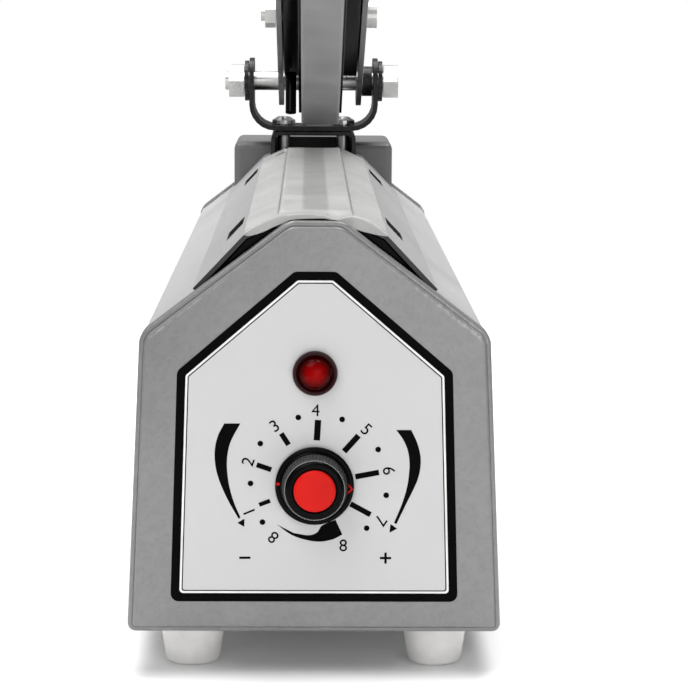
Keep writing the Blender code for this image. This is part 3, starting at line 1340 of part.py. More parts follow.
def main():
    """Clears the scene and builds every piece."""
    for obj in list(bpy.data.objects):
        bpy.data.objects.remove(obj, do_unlink=True)
    root = empty("sealer")
    arm = empty("press arm", (ARM_X, PIVOT_Y, PIVOT_Z), root)
    arm.rotation_euler.x = -math.radians(ARM_REST_DEG)
    knob = empty("timer knob axis", (0.0, 0.0, KNOB_Z), root)
    plunger = empty("plunger axis", (*switch_place(), 0.0), root)

    hammered = make_material("hammered grey paint", (0.27, 0.27, 0.28), 0.45, 0.5)
    light = make_material("light grey paint", (0.58, 0.58, 0.59), 0.4, 0.3)
    dark_grey = make_material("dark grey paint", (0.20, 0.20, 0.21), 0.45, 0.3)
    black = make_material("black paint", (0.012, 0.012, 0.013), 0.4)
    zinc = make_material("zinc plate", (0.62, 0.62, 0.60), 0.3, 1.0)
    steel = make_material("sheet steel", (0.36, 0.36, 0.37), 0.4, 0.9)
    aluminium = make_material("aluminium bar", (0.70, 0.70, 0.71), 0.35, 1.0)
    brass = make_material("brass clamp", (0.72, 0.52, 0.22), 0.35, 1.0)
    alloy = make_material("heating alloy", (0.45, 0.43, 0.40), 0.45, 1.0)
    cloth = make_material("coated cloth", (0.62, 0.62, 0.60), 0.6)
    rubber = make_material("grey silicone", (0.38, 0.38, 0.38), 0.7)
    white = make_material("white rubber", (0.78, 0.76, 0.72), 0.6)
    label = make_material("label film", (0.70, 0.70, 0.70), 0.4)
    knob_black = make_material("black moulding", (0.015, 0.015, 0.016), 0.35)
    red = make_material("red cap", (0.72, 0.02, 0.02), 0.35)
    lens_red = make_material("red lens", (0.30, 0.0, 0.005), 0.1)
    copper = make_material("copper winding", (0.55, 0.25, 0.10), 0.4, 0.7)

    make_shell(root, light)
    make_base_plate(root, steel)
    make_front_cap(root, hammered)
    make_rear_cap(root, hammered)
    make_cord_gland(root, knob_black)
    make_feet(root, white)
    make_ridge(root, aluminium, brass, alloy, cloth)
    make_cover(-1, "cover_left", root, light)
    make_cover(1, "cover_right", root, light)
    make_rear_block(root, dark_grey)
    make_label(root, label)
    make_lamp(root, zinc, lens_red, knob_black)
    make_timer(root, knob, knob_black, red, zinc, knob_black)
    make_transformer(root, steel, copper)
    make_hinge(root, black, zinc)
    make_axle(root, zinc, black)
    make_spring(root, zinc)
    make_arm(arm, steel, black, rubber, zinc)
    make_handle(arm, knob_black)
    make_switch(root, plunger, arm, knob_black, steel, white)
    set_origin(root)


main()
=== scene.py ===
"""Looks of the impulse sealer: finishes for the frame's pieces, finer pieces over plain ones, and a stage."""

import json
import math

import bmesh
import bpy
from bpy.props import FloatProperty, FloatVectorProperty, IntProperty, PointerProperty
from mathutils import Matrix, Vector


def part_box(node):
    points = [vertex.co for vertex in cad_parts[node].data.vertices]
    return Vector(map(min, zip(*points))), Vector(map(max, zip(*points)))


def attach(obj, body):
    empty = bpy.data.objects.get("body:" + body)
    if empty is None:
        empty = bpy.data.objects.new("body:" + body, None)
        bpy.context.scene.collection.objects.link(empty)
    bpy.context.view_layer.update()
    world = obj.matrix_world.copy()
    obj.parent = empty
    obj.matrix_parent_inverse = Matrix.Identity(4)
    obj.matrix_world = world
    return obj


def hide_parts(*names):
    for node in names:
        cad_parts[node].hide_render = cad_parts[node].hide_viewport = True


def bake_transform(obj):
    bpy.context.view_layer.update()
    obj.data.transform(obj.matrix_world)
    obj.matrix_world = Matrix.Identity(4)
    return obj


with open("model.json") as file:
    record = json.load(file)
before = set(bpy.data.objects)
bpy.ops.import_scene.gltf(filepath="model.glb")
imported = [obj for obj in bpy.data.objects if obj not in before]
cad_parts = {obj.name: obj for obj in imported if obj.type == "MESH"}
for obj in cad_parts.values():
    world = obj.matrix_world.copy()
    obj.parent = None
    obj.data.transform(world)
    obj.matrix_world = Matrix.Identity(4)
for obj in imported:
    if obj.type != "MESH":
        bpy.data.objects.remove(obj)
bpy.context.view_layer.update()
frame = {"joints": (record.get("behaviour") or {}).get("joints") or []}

bl_info = {
    "name": "Impulse sealer looks",
    "version": (1, 0, 0),
    "blender": (4, 5, 0),
    "location": "View3D > Sidebar > Sealer",
    "description": "Dresses a shop counter impulse sealer on its fixed frame",
    "category": "Object",
}

# Places read from the frame
CAP_LOW, CAP_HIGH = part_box("front_cap")
LABEL_LOW, LABEL_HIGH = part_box("label_plate")
KNOB_LOW, KNOB_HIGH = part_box("timer_knob")
LAMP_LOW, LAMP_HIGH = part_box("lamp_bezel")
COVER_LOW, COVER_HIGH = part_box("cover_right")
FACE_Y = CAP_LOW.y
KNOB_CENTRE = (KNOB_LOW + KNOB_HIGH) / 2.0
LAMP_CENTRE = (LAMP_LOW + LAMP_HIGH) / 2.0
HINGE = next(joint for joint in frame["joints"] if joint["name"] == "arm_hinge")
PIVOT = Vector(HINGE["pos_m"])

# The covers' slope, as (across, up) points of the right cover, and the slots in it
COVER_FOOT = Vector((0.0260, 0.0829))
COVER_SHOULDER = Vector((0.0152, 0.0950))
COVER_RISE = (COVER_SHOULDER - COVER_FOOT).normalized()
SLOT_CENTRE = COVER_FOOT + COVER_RISE * (0.0078 / -COVER_RISE.x)
SLOT_PLACES = (FACE_Y + 0.0520, FACE_Y + 0.2050)
SLOT_HALF_HEIGHT = 0.00268
SLOT_HALF_LENGTH = 0.00908
COVER_EDGE = COVER_LOW.y + 0.0002
DECK_HALF_WIDTH = COVER_HIGH.x - 0.0008
DECK_HEIGHT = COVER_LOW.z - 0.0010

# Small lengths and angles shared by several pieces
HAIR = 0.00004
WELD = 0.00001
FINE_WELD = WELD / 10.0
FLAT_ANGLE = math.radians(2.0)
SHARP_ANGLE = math.radians(32.0)
PRINT_THICKNESS = 0.00005
UP = Vector((0.0, 0.0, 1.0))
FORWARD = Vector((0.0, -1.0, 0.0))


class SealerColours(bpy.types.PropertyGroup):
    """Colours that a user would change."""

    hammered: FloatVectorProperty(
        name="Hammered paint", description="Paint of both end caps", subtype="COLOR",
        default=(0.220, 0.219, 0.218), min=0.0, max=1.0)
    body: FloatVectorProperty(
        name="Body paint", description="Paint of the sheet body and the covers", subtype="COLOR",
        default=(0.50, 0.50, 0.502), min=0.0, max=1.0)
    # The rear block's dark grey is set a share darker than the caps' paint, as painted shade on its shadowed
    # front.
    block: FloatVectorProperty(
        name="Rear block paint", description="Paint of the block behind the covers", subtype="COLOR",
        default=(0.150, 0.150, 0.153), min=0.0, max=1.0)
    label: FloatVectorProperty(
        name="Label film", description="Ground of the front label", subtype="COLOR",
        default=(0.60, 0.60, 0.602), min=0.0, max=1.0)
    cap_red: FloatVectorProperty(
        name="Knob cap", description="Cap of the timer knob", subtype="COLOR",
        default=(0.62, 0.009, 0.006), min=0.0, max=1.0)
    lens_red: FloatVectorProperty(
        name="Lamp lens", description="Signal lamp's translucent lens", subtype="COLOR",
        default=(0.05, 0.0006, 0.001), min=0.0, max=1.0)
    feet: FloatVectorProperty(
        name="Feet", description="Rubber of the four feet", subtype="COLOR",
        default=(0.88, 0.87, 0.85), min=0.0, max=1.0)


class SealerSizes(bpy.types.PropertyGroup):
    """Sizes of what the frame leaves to this script."""

    label_border: FloatProperty(
        name="Label border", description="Width of the label's black border",
        default=0.00185, min=0.0, unit="LENGTH")
    label_line: FloatProperty(
        name="Label line", description="Width of the light line inside the border",
        default=0.00045, min=0.0, unit="LENGTH")
    knob_flutes: IntProperty(
        name="Knob flutes", description="Grooves round the timer knob", default=60, min=8)
    cloth_thickness: FloatProperty(
        name="Cloth thickness", description="Thickness of the coated cloth over the ridge",
        default=0.00016, min=0.0, unit="LENGTH")
    lens: FloatProperty(
        name="Camera lens", description="Focal length in millimetres on a 36 mm sensor",
        default=125.58, min=10.0)


def colours():
    """The scene's colour settings."""
    return bpy.context.scene.sealer_colours


def sizes():
    """The scene's size settings."""
    return bpy.context.scene.sealer_sizes


# Node groups shared by the materials

def new_group(name, inputs, outputs):
    """An empty shader group with named float inputs and outputs."""
    group = bpy.data.node_groups.new(name, "ShaderNodeTree")
    for label, default in inputs:
        socket = group.interface.new_socket(label, in_out="INPUT", socket_type="NodeSocketFloat")
        socket.default_value = default
    for label in outputs:
        group.interface.new_socket(label, in_out="OUTPUT", socket_type="NodeSocketFloat")
    start = group.nodes.new("NodeGroupInput")
    end = group.nodes.new("NodeGroupOutput")
    return group, start, end


def object_point(group, stretch=(1.0, 1.0, 1.0)):
    """Object coordinates through a Mapping node that stretches a pattern."""
    where = group.nodes.new("ShaderNodeTexCoord")
    mapping = group.nodes.new("ShaderNodeMapping")
    mapping.inputs["Scale"].default_value = stretch
    group.links.new(where.outputs["Object"], mapping.inputs["Vector"])
    return mapping.outputs["Vector"]


def object_axes(tree):
    """Object coordinates, whole and split into X, Y and Z."""
    where = tree.nodes.new("ShaderNodeTexCoord").outputs["Object"]
    split = tree.nodes.new("ShaderNodeSeparateXYZ")
    tree.links.new(where, split.inputs["Vector"])
    return where, split.outputs["X"], split.outputs["Y"], split.outputs["Z"]


def noise(tree, vector, scale, detail=3.0, roughness=0.5):
    """A noise texture's factor; scale is a number or a socket."""
    node = tree.nodes.new("ShaderNodeTexNoise")
    node.inputs["Detail"].default_value = detail
    node.inputs["Roughness"].default_value = roughness
    tree.links.new(vector, node.inputs["Vector"])
    feed(tree, scale, node.inputs["Scale"])
    return node.outputs["Fac"]


def feed(tree, value, socket):
    """Sets a socket to a number or links it to another socket."""
    if isinstance(value, bpy.types.NodeSocket):
        tree.links.new(value, socket)
    else:
        socket.default_value = value


def combine(tree, operation, first, second, clamp=False):
    """A Math node's result."""
    node = tree.nodes.new("ShaderNodeMath")
    node.operation = operation
    node.use_clamp = clamp
    feed(tree, first, node.inputs[0])
    feed(tree, second, node.inputs[1])
    return node.outputs[0]


def distance_from(tree, value, middle):
    """How far a value is from a middle, without its sign."""
    return combine(tree, "ABSOLUTE", combine(tree, "SUBTRACT", value, middle), 0.0)


def vector_value(tree, operation, first, second=(0.0, 0.0, 0.0)):
    """A Vector Math node; the second value is a vector or a socket."""
    node = tree.nodes.new("ShaderNodeVectorMath")
    node.operation = operation
    tree.links.new(first, node.inputs[0])
    feed(tree, second, node.inputs[1])
    return node


def stretch_range(tree, value, low, high, new_low, new_high):
    """A value mapped from one range to another, clamped."""
    node = tree.nodes.new("ShaderNodeMapRange")
    feed(tree, value, node.inputs["Value"])
    for label, number in (("From Min", low), ("From Max", high), ("To Min", new_low), ("To Max", new_high)):
        feed(tree, number, node.inputs[label])
    return node.outputs["Result"]


def hand_out(group, end, **values):
    """Links a group's results to its named outputs."""
    for label, value in values.items():
        group.links.new(value, end.inputs[label])
    return group


def grain_group():
    """Fine grain: a small bumpy height and a soft tone."""
    group, start, end = new_group("fine grain", [("Scale", 900.0), ("Tone scale", 60.0)], ["Height", "Tone"])
    point = object_point(group)
    fine = noise(group, point, start.outputs["Scale"], 2.0, 0.6)
    tone = noise(group, point, start.outputs["Tone scale"], 3.0, 0.55)
    return hand_out(group, end, Height=fine, Tone=tone)


def hammer_group():
    """Hammered paint: shallow round dimples of uneven size with raised rims."""
    group, start, end = new_group("hammered", [("Scale", 500.0), ("Warp", 0.35)], ["Height", "Tone"])
    point = object_point(group)
    cells = group.nodes.new("ShaderNodeTexVoronoi")
    cells.feature = "SMOOTH_F1"
    cells.inputs["Smoothness"].default_value = 0.6
    warp = noise(group, point, combine(group, "MULTIPLY", start.outputs["Scale"], 0.45), 2.0)
    shift = combine(group, "MULTIPLY", warp, combine(group, "MULTIPLY", start.outputs["Warp"], 0.02))
    moved = vector_value(group, "ADD", point, shift)
    group.links.new(moved.outputs["Vector"], cells.inputs["Vector"])
    group.links.new(start.outputs["Scale"], cells.inputs["Scale"])
    bowl = stretch_range(group, cells.outputs["Distance"], 0.05, 0.75, 0.0, 1.0)
    slow = noise(group, point, combine(group, "MULTIPLY", start.outputs["Scale"], 0.12), 4.0, 0.6)
    tone = combine(
        group, "ADD", combine(group, "MULTIPLY", bowl, 0.35), combine(group, "MULTIPLY", slow, 0.65))
    return hand_out(group, end, Height=bowl, Tone=tone)


def streak_group():
    """Fine parallel streaks along Y, as on drawn or brushed metal."""
    group, start, end = new_group("streaks", [("Scale", 1800.0)], ["Height", "Tone"])
    point = object_point(group, stretch=(1.0, 0.015, 1.0))
    lines = noise(group, point, start.outputs["Scale"], 2.0, 0.6)
    slow = noise(group, object_point(group, stretch=(1.0, 0.1, 1.0)), 120.0, 3.0, 0.5)
    return hand_out(group, end, Height=lines, Tone=slow)


def weave_group():
    """A plain weave of threads along X and Y."""
    group, start, end = new_group("weave", [("Threads", 2600.0)], ["Height", "Tone"])
    point = object_point(group)
    waves = []
    for direction in ("X", "Y"):
        wave = group.nodes.new("ShaderNodeTexWave")
        wave.wave_type = "BANDS"
        wave.bands_direction = direction
        group.links.new(point, wave.inputs["Vector"])
        group.links.new(start.outputs["Threads"], wave.inputs["Scale"])
        wave.inputs["Distortion"].default_value = 0.4
        waves.append(wave.outputs["Fac"])
    height = combine(group, "MULTIPLY", waves[0], waves[1])
    return hand_out(group, end, Height=height, Tone=noise(group, point, 45.0, 4.0, 0.6))


def smudge_group():
    """Broad uneven sheen from handling, for roughness."""
    group, start, end = new_group("smudges", [("Scale", 28.0), ("Low", 0.35), ("High", 0.5)], ["Roughness"])
    fog = noise(group, object_point(group), start.outputs["Scale"], 5.0, 0.62)
    result = stretch_range(group, fog, 0.35, 0.68, start.outputs["Low"], start.outputs["High"])
    return hand_out(group, end, Roughness=result)


def wear_and_highlight_group():
    """Worn edges and painted edge highlights: on ridges and corners, broken up by noise."""
    group, start, end = new_group("edge wear", [("Amount", 0.5)], ["Mask"])
    geometry = group.nodes.new("ShaderNodeNewGeometry")
    ridge = stretch_range(group, geometry.outputs["Pointiness"], 0.52, 0.60, 0.0, 1.0)
    broken = noise(group, object_point(group), 700.0, 3.0, 0.7)
    mask = combine(group, "MULTIPLY", ridge, stretch_range(group, broken, 0.40, 0.65, 0.0, 1.0))
    return hand_out(group, end, Mask=combine(group, "MULTIPLY", mask, start.outputs["Amount"], True))


GROUPS = {}


def build_groups():
    """Makes each shared group once."""
    makers = {
        "grain": grain_group, "hammered": hammer_group, "streaks": streak_group,
        "weave": weave_group, "smudges": smudge_group, "wear_and_highlight": wear_and_highlight_group,
    }
    for name, maker in makers.items():
        GROUPS[name] = maker()


# Materials

class Finish:
    """One Principled material under construction."""

    def __init__(self, name, colour, roughness, metallic=0.0):
        self.material = bpy.data.materials.new(name)
        self.material.use_nodes = True
        self.tree = self.material.node_tree
        self.shader = self.tree.nodes["Principled BSDF"]
        self.colour = tuple(colour)
        self.shader.inputs["Base Color"].default_value = (*self.colour, 1.0)
        self.shader.inputs["Roughness"].default_value = roughness
        self.shader.inputs["Metallic"].default_value = metallic

    def set(self, **values):
        """Sets shader sockets, named with underscores for spaces."""
        for label, value in values.items():
            self.shader.inputs[label.replace("_", " ")].default_value = value
        return self

    def group(self, name, **values):
        """Places a shared group with its own values."""
        node = self.tree.nodes.new("ShaderNodeGroup")
        node.node_tree = GROUPS[name]
        for label, value in values.items():
            node.inputs[label.replace("_", " ")].default_value = value
        return node

    def bump(self, height, strength, distance):
        """Adds a bump over any earlier one."""
        node = self.tree.nodes.new("ShaderNodeBump")
        node.inputs["Strength"].default_value = strength
        node.inputs["Distance"].default_value = distance
        self.tree.links.new(height, node.inputs["Height"])
        before = self.shader.inputs["Normal"]
        if before.is_linked:
            self.tree.links.new(before.links[0].from_socket, node.inputs["Normal"])
        self.tree.links.new(node.outputs["Normal"], self.shader.inputs["Normal"])
        return self

    def vary(self, tone, darker, lighter, low=0.3, high=0.7):
        """Varies the base colour between two shares of itself."""
        ramp = self.tree.nodes.new("ShaderNodeValToRGB")
        ramp.color_ramp.elements[0].position = low
        ramp.color_ramp.elements[1].position = high
        ramp.color_ramp.elements[0].color = (*[c * darker for c in self.colour], 1.0)
        ramp.color_ramp.elements[1].color = (*[min(c * lighter, 1.0) for c in self.colour], 1.0)
        self.tree.links.new(tone, ramp.inputs["Fac"])
        self.tree.links.new(ramp.outputs["Color"], self.shader.inputs["Base Color"])
        return self

    def textured(self, name, tones, strength, distance, **values):
        """Varies the colour and bumps the surface by one shared pattern."""
        node = self.group(name, **values)
        self.vary(node.outputs["Tone"], *tones)
        return self.bump(node.outputs["Height"], strength, distance)

    def tint(self, mask, colour):
        """Mixes another colour in by a mask."""
        mix = self.tree.nodes.new("ShaderNodeMix")
        mix.data_type = "RGBA"
        base = self.shader.inputs["Base Color"]
        if base.is_linked:
            self.tree.links.new(base.links[0].from_socket, mix.inputs["A"])
        else:
            mix.inputs["A"].default_value = base.default_value
        mix.inputs["B"].default_value = (*colour, 1.0)
        self.tree.links.new(mask, mix.inputs["Factor"])
        self.tree.links.new(mix.outputs["Result"], base)
        return self

    def sheen_by_touch(self, low, high, scale=28.0):
        """Uneven roughness from handling."""
        node = self.group("smudges", Scale=scale, Low=low, High=high)
        self.tree.links.new(node.outputs["Roughness"], self.shader.inputs["Roughness"])
        return self

    def wear_and_highlight(self, colour, amount):
        """Edges that show another colour: worn edges on most finishes, painted highlights on the hammered
        paint.
        """
        return self.tint(self.group("wear_and_highlight", Amount=amount).outputs["Mask"], colour)


# Finishes: the sheet body is lit harder in the photograph than its covers, so its paint is a share lighter

SHELL_SHARE = 1.12
CREASE_X = 0.0079
GLOW_COLOUR = (0.9, 0.006, 0.010)
GLOW_RIM = 0.06


def hammered_paint(name, colour):
    """Hammered enamel on the castings: fine dimples under a half-gloss coat, with painted highlights along
    its edges.
    """
    finish = Finish(name, colour, 0.36, 0.25)
    finish.textured("hammered", (0.90, 1.08, 0.25, 0.75), 0.30, 0.00010, Scale=620.0, Warp=0.5)
    finish.bump(finish.group("grain", Scale=2400.0).outputs["Height"], 0.12, 0.00003)
    finish.sheen_by_touch(0.36, 0.42)
    # Painted highlight: the rounded edges of the rim are lightened to twice the paint's colour, broken up by
    # noise.
    finish.wear_and_highlight([min(c * 2.0, 1.0) for c in colour], 0.7)
    return finish.set(Specular_IOR_Level=0.5, Coat_Weight=0.35, Coat_Roughness=0.15).material


def smooth_paint(name, colour, low=0.32, high=0.46, orange_peel=0.10):
    """Sprayed enamel with a faint orange peel, as an open finish."""
    finish = Finish(name, colour, low, 0.1)
    finish.textured("grain", (0.96, 1.03), orange_peel, 0.00004, Scale=650.0, Tone_scale=25.0)
    finish.sheen_by_touch(low, high)
    return finish.wear_and_highlight([c * 0.7 for c in colour], 0.35)


def cover_paint(name, colour):
    """The covers' enamel; the front edge is painted near black and the walls of the slots are darkened as
    painted shade.
    """
    finish = smooth_paint(name, colour)
    tree = finish.tree
    where, _, along_body, _ = object_axes(tree)
    front = combine(tree, "LESS_THAN", along_body, COVER_EDGE)
    mirrored = vector_value(tree, "ABSOLUTE", where).outputs["Vector"]
    slope = (COVER_RISE.x, 0.0, COVER_RISE.y)
    climb = vector_value(tree, "DOT_PRODUCT", mirrored, slope).outputs["Value"]
    across = combine(
        tree, "LESS_THAN", distance_from(tree, climb, COVER_RISE.dot(SLOT_CENTRE)), SLOT_HALF_HEIGHT)
    nearest = combine(tree, "MINIMUM", *[distance_from(tree, along_body, y) for y in SLOT_PLACES])
    slot = combine(tree, "MULTIPLY", across, combine(tree, "LESS_THAN", nearest, SLOT_HALF_LENGTH))
    # The front edge is painted near black; the slot walls get painted shade.
    return finish.tint(combine(tree, "MAXIMUM", front, slot), (0.02, 0.02, 0.021)).material


def shell_paint(name, colour):
    """The sheet body's enamel, with painted shade: the deck under the covers is painted near black."""
    finish = smooth_paint(name, colour)
    tree = finish.tree
    _, across, _, height = object_axes(tree)
    deck = combine(
        tree, "MULTIPLY", combine(tree, "GREATER_THAN", height, DECK_HEIGHT),
        combine(tree, "LESS_THAN", distance_from(tree, across, 0.0), DECK_HALF_WIDTH))
    # Painted shade on the deck under the covers, seen through the slots.
    return finish.tint(deck, (0.012, 0.012, 0.013)).material


def black_paint():
    """Baked black paint on the hinge bracket, scuffed at its edges."""
    finish = Finish("black paint", (0.008, 0.008, 0.009), 0.34)
    finish.textured("grain", (0.7, 1.6), 0.12, 0.00003, Scale=900.0, Tone_scale=70.0)
    finish.sheen_by_touch(0.30, 0.44)
    finish.wear_and_highlight((0.10, 0.10, 0.098), 0.4)
    return finish.set(Specular_IOR_Level=0.2).material


def plated_metal(name, colour, low, high):
    """Plated or polished metal with fine pits and a soft cloudiness."""
    finish = Finish(name, colour, low, 1.0)
    finish.textured("grain", (0.90, 1.05), 0.06, 0.000006, Scale=5200.0, Tone_scale=240.0)
    return finish.sheen_by_touch(low, high, 180.0).material


def drawn_metal(name, colour, low, high):
    """Drawn or brushed metal with streaks along its length."""
    finish = Finish(name, colour, low, 1.0)
    finish.textured("streaks", (0.86, 1.08), 0.10, 0.00002)
    finish.sheen_by_touch(low, high, 60.0)
    return finish.wear_and_highlight([min(c * 1.3, 1.0) for c in colour], 0.4).material


def moulded_plastic(name, colour, low, high, grain_scale=900.0, strength=0.12, shine=0.35):
    """Moulded plastic or rubber with a spark-eroded grain."""
    finish = Finish(name, colour, low)
    finish.textured("grain", (0.9, 1.12), strength, 0.00004, Scale=grain_scale, Tone_scale=90.0)
    finish.sheen_by_touch(low, high, 90.0)
    return finish.set(Specular_IOR_Level=shine).material


def coated_cloth():
    """Glass cloth with a slippery coating: a fine weave, scorched over the element, with painted shade along
    the creases and on the hanging front lobes.
    """
    finish = Finish("coated cloth", (0.56, 0.56, 0.545), 0.38)
    finish.textured("weave", (0.9, 1.08), 0.22, 0.00003)
    tree = finish.tree
    _, across, along_body, _ = object_axes(tree)
    from_middle = distance_from(tree, across, 0.0)
    scorch = stretch_range(tree, from_middle, 0.0024, 0.0032, 0.42, 0.0)
    # Painted shade: dark lines along the creases at the ridge's edges.
    crease_shade = stretch_range(tree, distance_from(tree, from_middle, CREASE_X), 0.0001, 0.0005, 0.65, 0.0)
    behind = stretch_range(tree, along_body, FACE_Y + 0.0080, FACE_Y + 0.0140, 0.0, 1.0)
    scorch_and_crease_shade = combine(tree, "MULTIPLY", combine(tree, "ADD", scorch, crease_shade, True), behind)
    finish.tint(scorch_and_crease_shade, (0.16, 0.155, 0.15))
    # Painted shade on the front lobes that hang from the fold.
    hanging_shade = stretch_range(tree, along_body, FACE_Y + 0.0040, FACE_Y + 0.0085, 0.40, 0.0)
    finish.tint(hanging_shade, (0.22, 0.22, 0.215))
    finish.sheen_by_touch(0.30, 0.48, 60.0)
    return finish.set(Coat_Weight=0.15, Coat_Roughness=0.3).material


def label_film():
    """The label's printed film: light grey, faintly speckled, half gloss."""
    finish = Finish("label film", colours().label, 0.3)
    finish.textured("grain", (0.99, 1.01), 0.06, 0.00002, Scale=1600.0, Tone_scale=30.0)
    finish.sheen_by_touch(0.36, 0.40, 20.0)
    return finish.set(Specular_IOR_Level=0.25).material


def ink(name, colour):
    """Screen-printed ink."""
    finish = Finish(name, colour, 0.6)
    finish.textured("grain", (0.9, 1.1), 0.08, 0.00002, Scale=2200.0, Tone_scale=120.0)
    return finish.set(Specular_IOR_Level=0.01).material


def lamp_lens():
    """The lamp's red translucent lens."""
    finish = Finish("lamp lens", colours().lens_red, 0.16)
    finish.textured("grain", (0.7, 1.35), 0.05, 0.00003, Scale=700.0, Tone_scale=300.0)
    return finish.set(Transmission_Weight=0.88, IOR=1.15, Specular_IOR_Level=0.06).material


def lamp_core():
    """The bright red core inside the lens, whose glow fades from its middle."""
    finish = Finish("lamp core", (0.85, 0.02, 0.02), 0.3)
    grain = finish.group("grain", Scale=500.0, Tone_scale=900.0)
    finish.vary(grain.outputs["Tone"], 0.6, 1.2)
    tree = finish.tree
    where = object_axes(tree)[0]
    middle = (LAMP_CENTRE.x, FACE_Y - 0.0012, LAMP_CENTRE.z)
    away = vector_value(tree, "DISTANCE", where, middle).outputs["Value"]
    mix = tree.nodes.new("ShaderNodeMix")
    mix.data_type = "RGBA"
    mix.inputs["A"].default_value = (*[c * GLOW_RIM for c in GLOW_COLOUR], 1.0)
    mix.inputs["B"].default_value = (*GLOW_COLOUR, 1.0)
    tree.links.new(stretch_range(tree, away, 0.0006, 0.0028, 1.0, 0.0), mix.inputs["Factor"])
    tree.links.new(mix.outputs["Result"], finish.shader.inputs["Emission Color"])
    return finish.set(Emission_Strength=2.0).material


MATERIALS = {}


def build_materials():
    """Makes each finish once, named for what wears it."""
    paint = colours()
    shell = [c * SHELL_SHARE for c in paint.body]
    MATERIALS.update({
        "hammered": hammered_paint("hammered grey paint", paint.hammered),
        "shell": shell_paint("light grey paint and primed deck", shell),
        "cover": cover_paint("light grey paint and bare cut edge", paint.body),
        # The rear block's paint, darkened as painted shade.
        "block": smooth_paint("dark grey paint", paint.block, 0.38, 0.5, 0.2).material,
        "black": black_paint(),
        "zinc": plated_metal("zinc plate", (0.66, 0.66, 0.645), 0.26, 0.40),
        "black bolt": plated_metal("blackened steel", (0.045, 0.045, 0.047), 0.3, 0.45),
        "arm": drawn_metal("drawn steel", (0.33, 0.335, 0.345), 0.3, 0.44),
        "steel": drawn_metal("sheet steel", (0.42, 0.42, 0.43), 0.32, 0.46),
        "aluminium": drawn_metal("aluminium bar", (0.72, 0.72, 0.73), 0.28, 0.4),
        "brass": plated_metal("brass clamp", (0.72, 0.52, 0.22), 0.26, 0.4),
        "alloy": drawn_metal("heating strip", (0.40, 0.38, 0.36), 0.32, 0.46),
        "cloth": coated_cloth(),
        "silicone": moulded_plastic("grey silicone", (0.23, 0.23, 0.235), 0.5, 0.66),
        "feet": moulded_plastic("white rubber", paint.feet, 0.42, 0.58, 800.0),
        "white": moulded_plastic("white plastic", (0.75, 0.75, 0.73), 0.35, 0.5),
        "label": label_film(),
        "ink": ink("black ink", (0.0035, 0.0035, 0.0038)),
        "white ink": ink("white ink", (0.86, 0.86, 0.86)),
        "red ink": ink("red ink", (0.62, 0.012, 0.012)),
        "plastic": moulded_plastic(
            "black moulding", (0.002, 0.002, 0.0022), 0.16, 0.22, 900.0, 0.05, 0.06),
        "rim": moulded_plastic(
            "lamp rim", (0.022, 0.0025, 0.0035), 0.20, 0.28, 900.0, 0.06, 0.15),
        "red": moulded_plastic("red moulding", paint.cap_red, 0.30, 0.40, 900.0, 0.06, 0.12),
        # Painted highlight: the knurled grip is a lighter copy of the knob's black moulding.
        "grip": moulded_plastic(
            "knurled moulding", (0.055, 0.055, 0.057), 0.28, 0.36, 900.0, 0.10, 0.6),
        "lens": lamp_lens(),
        "core": lamp_core(),
        "copper": plated_metal("enamelled winding", (0.55, 0.25, 0.10), 0.3, 0.45),
        "board": moulded_plastic("circuit board", (0.03, 0.20, 0.08), 0.35, 0.5),
        "relay": moulded_plastic("relay case", (0.03, 0.10, 0.35), 0.3, 0.45),
    })


# Making and dressing pieces

def link_mesh(name, bm, *materials):
    """A named object from a bmesh, with these materials."""
    mesh = bpy.data.meshes.new(name)
    bm.to_mesh(mesh)
    bm.free()
    for material in materials:
        mesh.materials.append(material)
    obj = bpy.data.objects.new(name, mesh)
    bpy.context.scene.collection.objects.link(obj)
    return obj


def finished(name, bm, key):
    """A named object from a bmesh, with its normals out and one of the finishes."""
    bmesh.ops.recalc_face_normals(bm, faces=bm.faces[:])
    return link_mesh(name, bm, MATERIALS[key])


def shade(obj, angle=SHARP_ANGLE):
    """Smooth shading with sharp edges past an angle."""
    obj.data.shade_smooth()
    obj.data.set_sharp_from_angle(angle=angle)


def soften(obj, width):
    """A bevel that rounds an object's sharp edges."""
    bevel = obj.modifiers.new("softened edges", "BEVEL")
    bevel.width = width
    bevel.segments = 2
    bevel.limit_method = "ANGLE"
    bevel.angle_limit = SHARP_ANGLE
    bevel.harden_normals = True


def refined(name, width, body):
    """The frame's own piece with merged faces and rounded edges, in place of the plain one."""
    source = bpy.data.objects[name]
    bm = bmesh.new()
    bm.from_mesh(source.data)
    bm.transform(source.matrix_world)
    bmesh.ops.remove_doubles(bm, verts=bm.verts[:], dist=WELD)
    bmesh.ops.dissolve_limit(bm, angle_limit=FLAT_ANGLE, verts=bm.verts[:], edges=bm.edges[:])
    bmesh.ops.recalc_face_normals(bm, faces=bm.faces[:])
    obj = link_mesh(name + "_fine", bm, *[slot.material for slot in source.material_slots])
    shade(obj)
    soften(obj, width)
    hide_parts(name)
    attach(obj, body)
    return obj


def dress(names, key):
    """Gives frame pieces one of the finishes in every slot."""
    for name in names:
        obj = bpy.data.objects[name]
        if not obj.material_slots:
            obj.data.materials.append(MATERIALS[key])
        for slot in obj.material_slots:
            slot.material = MATERIALS[key]


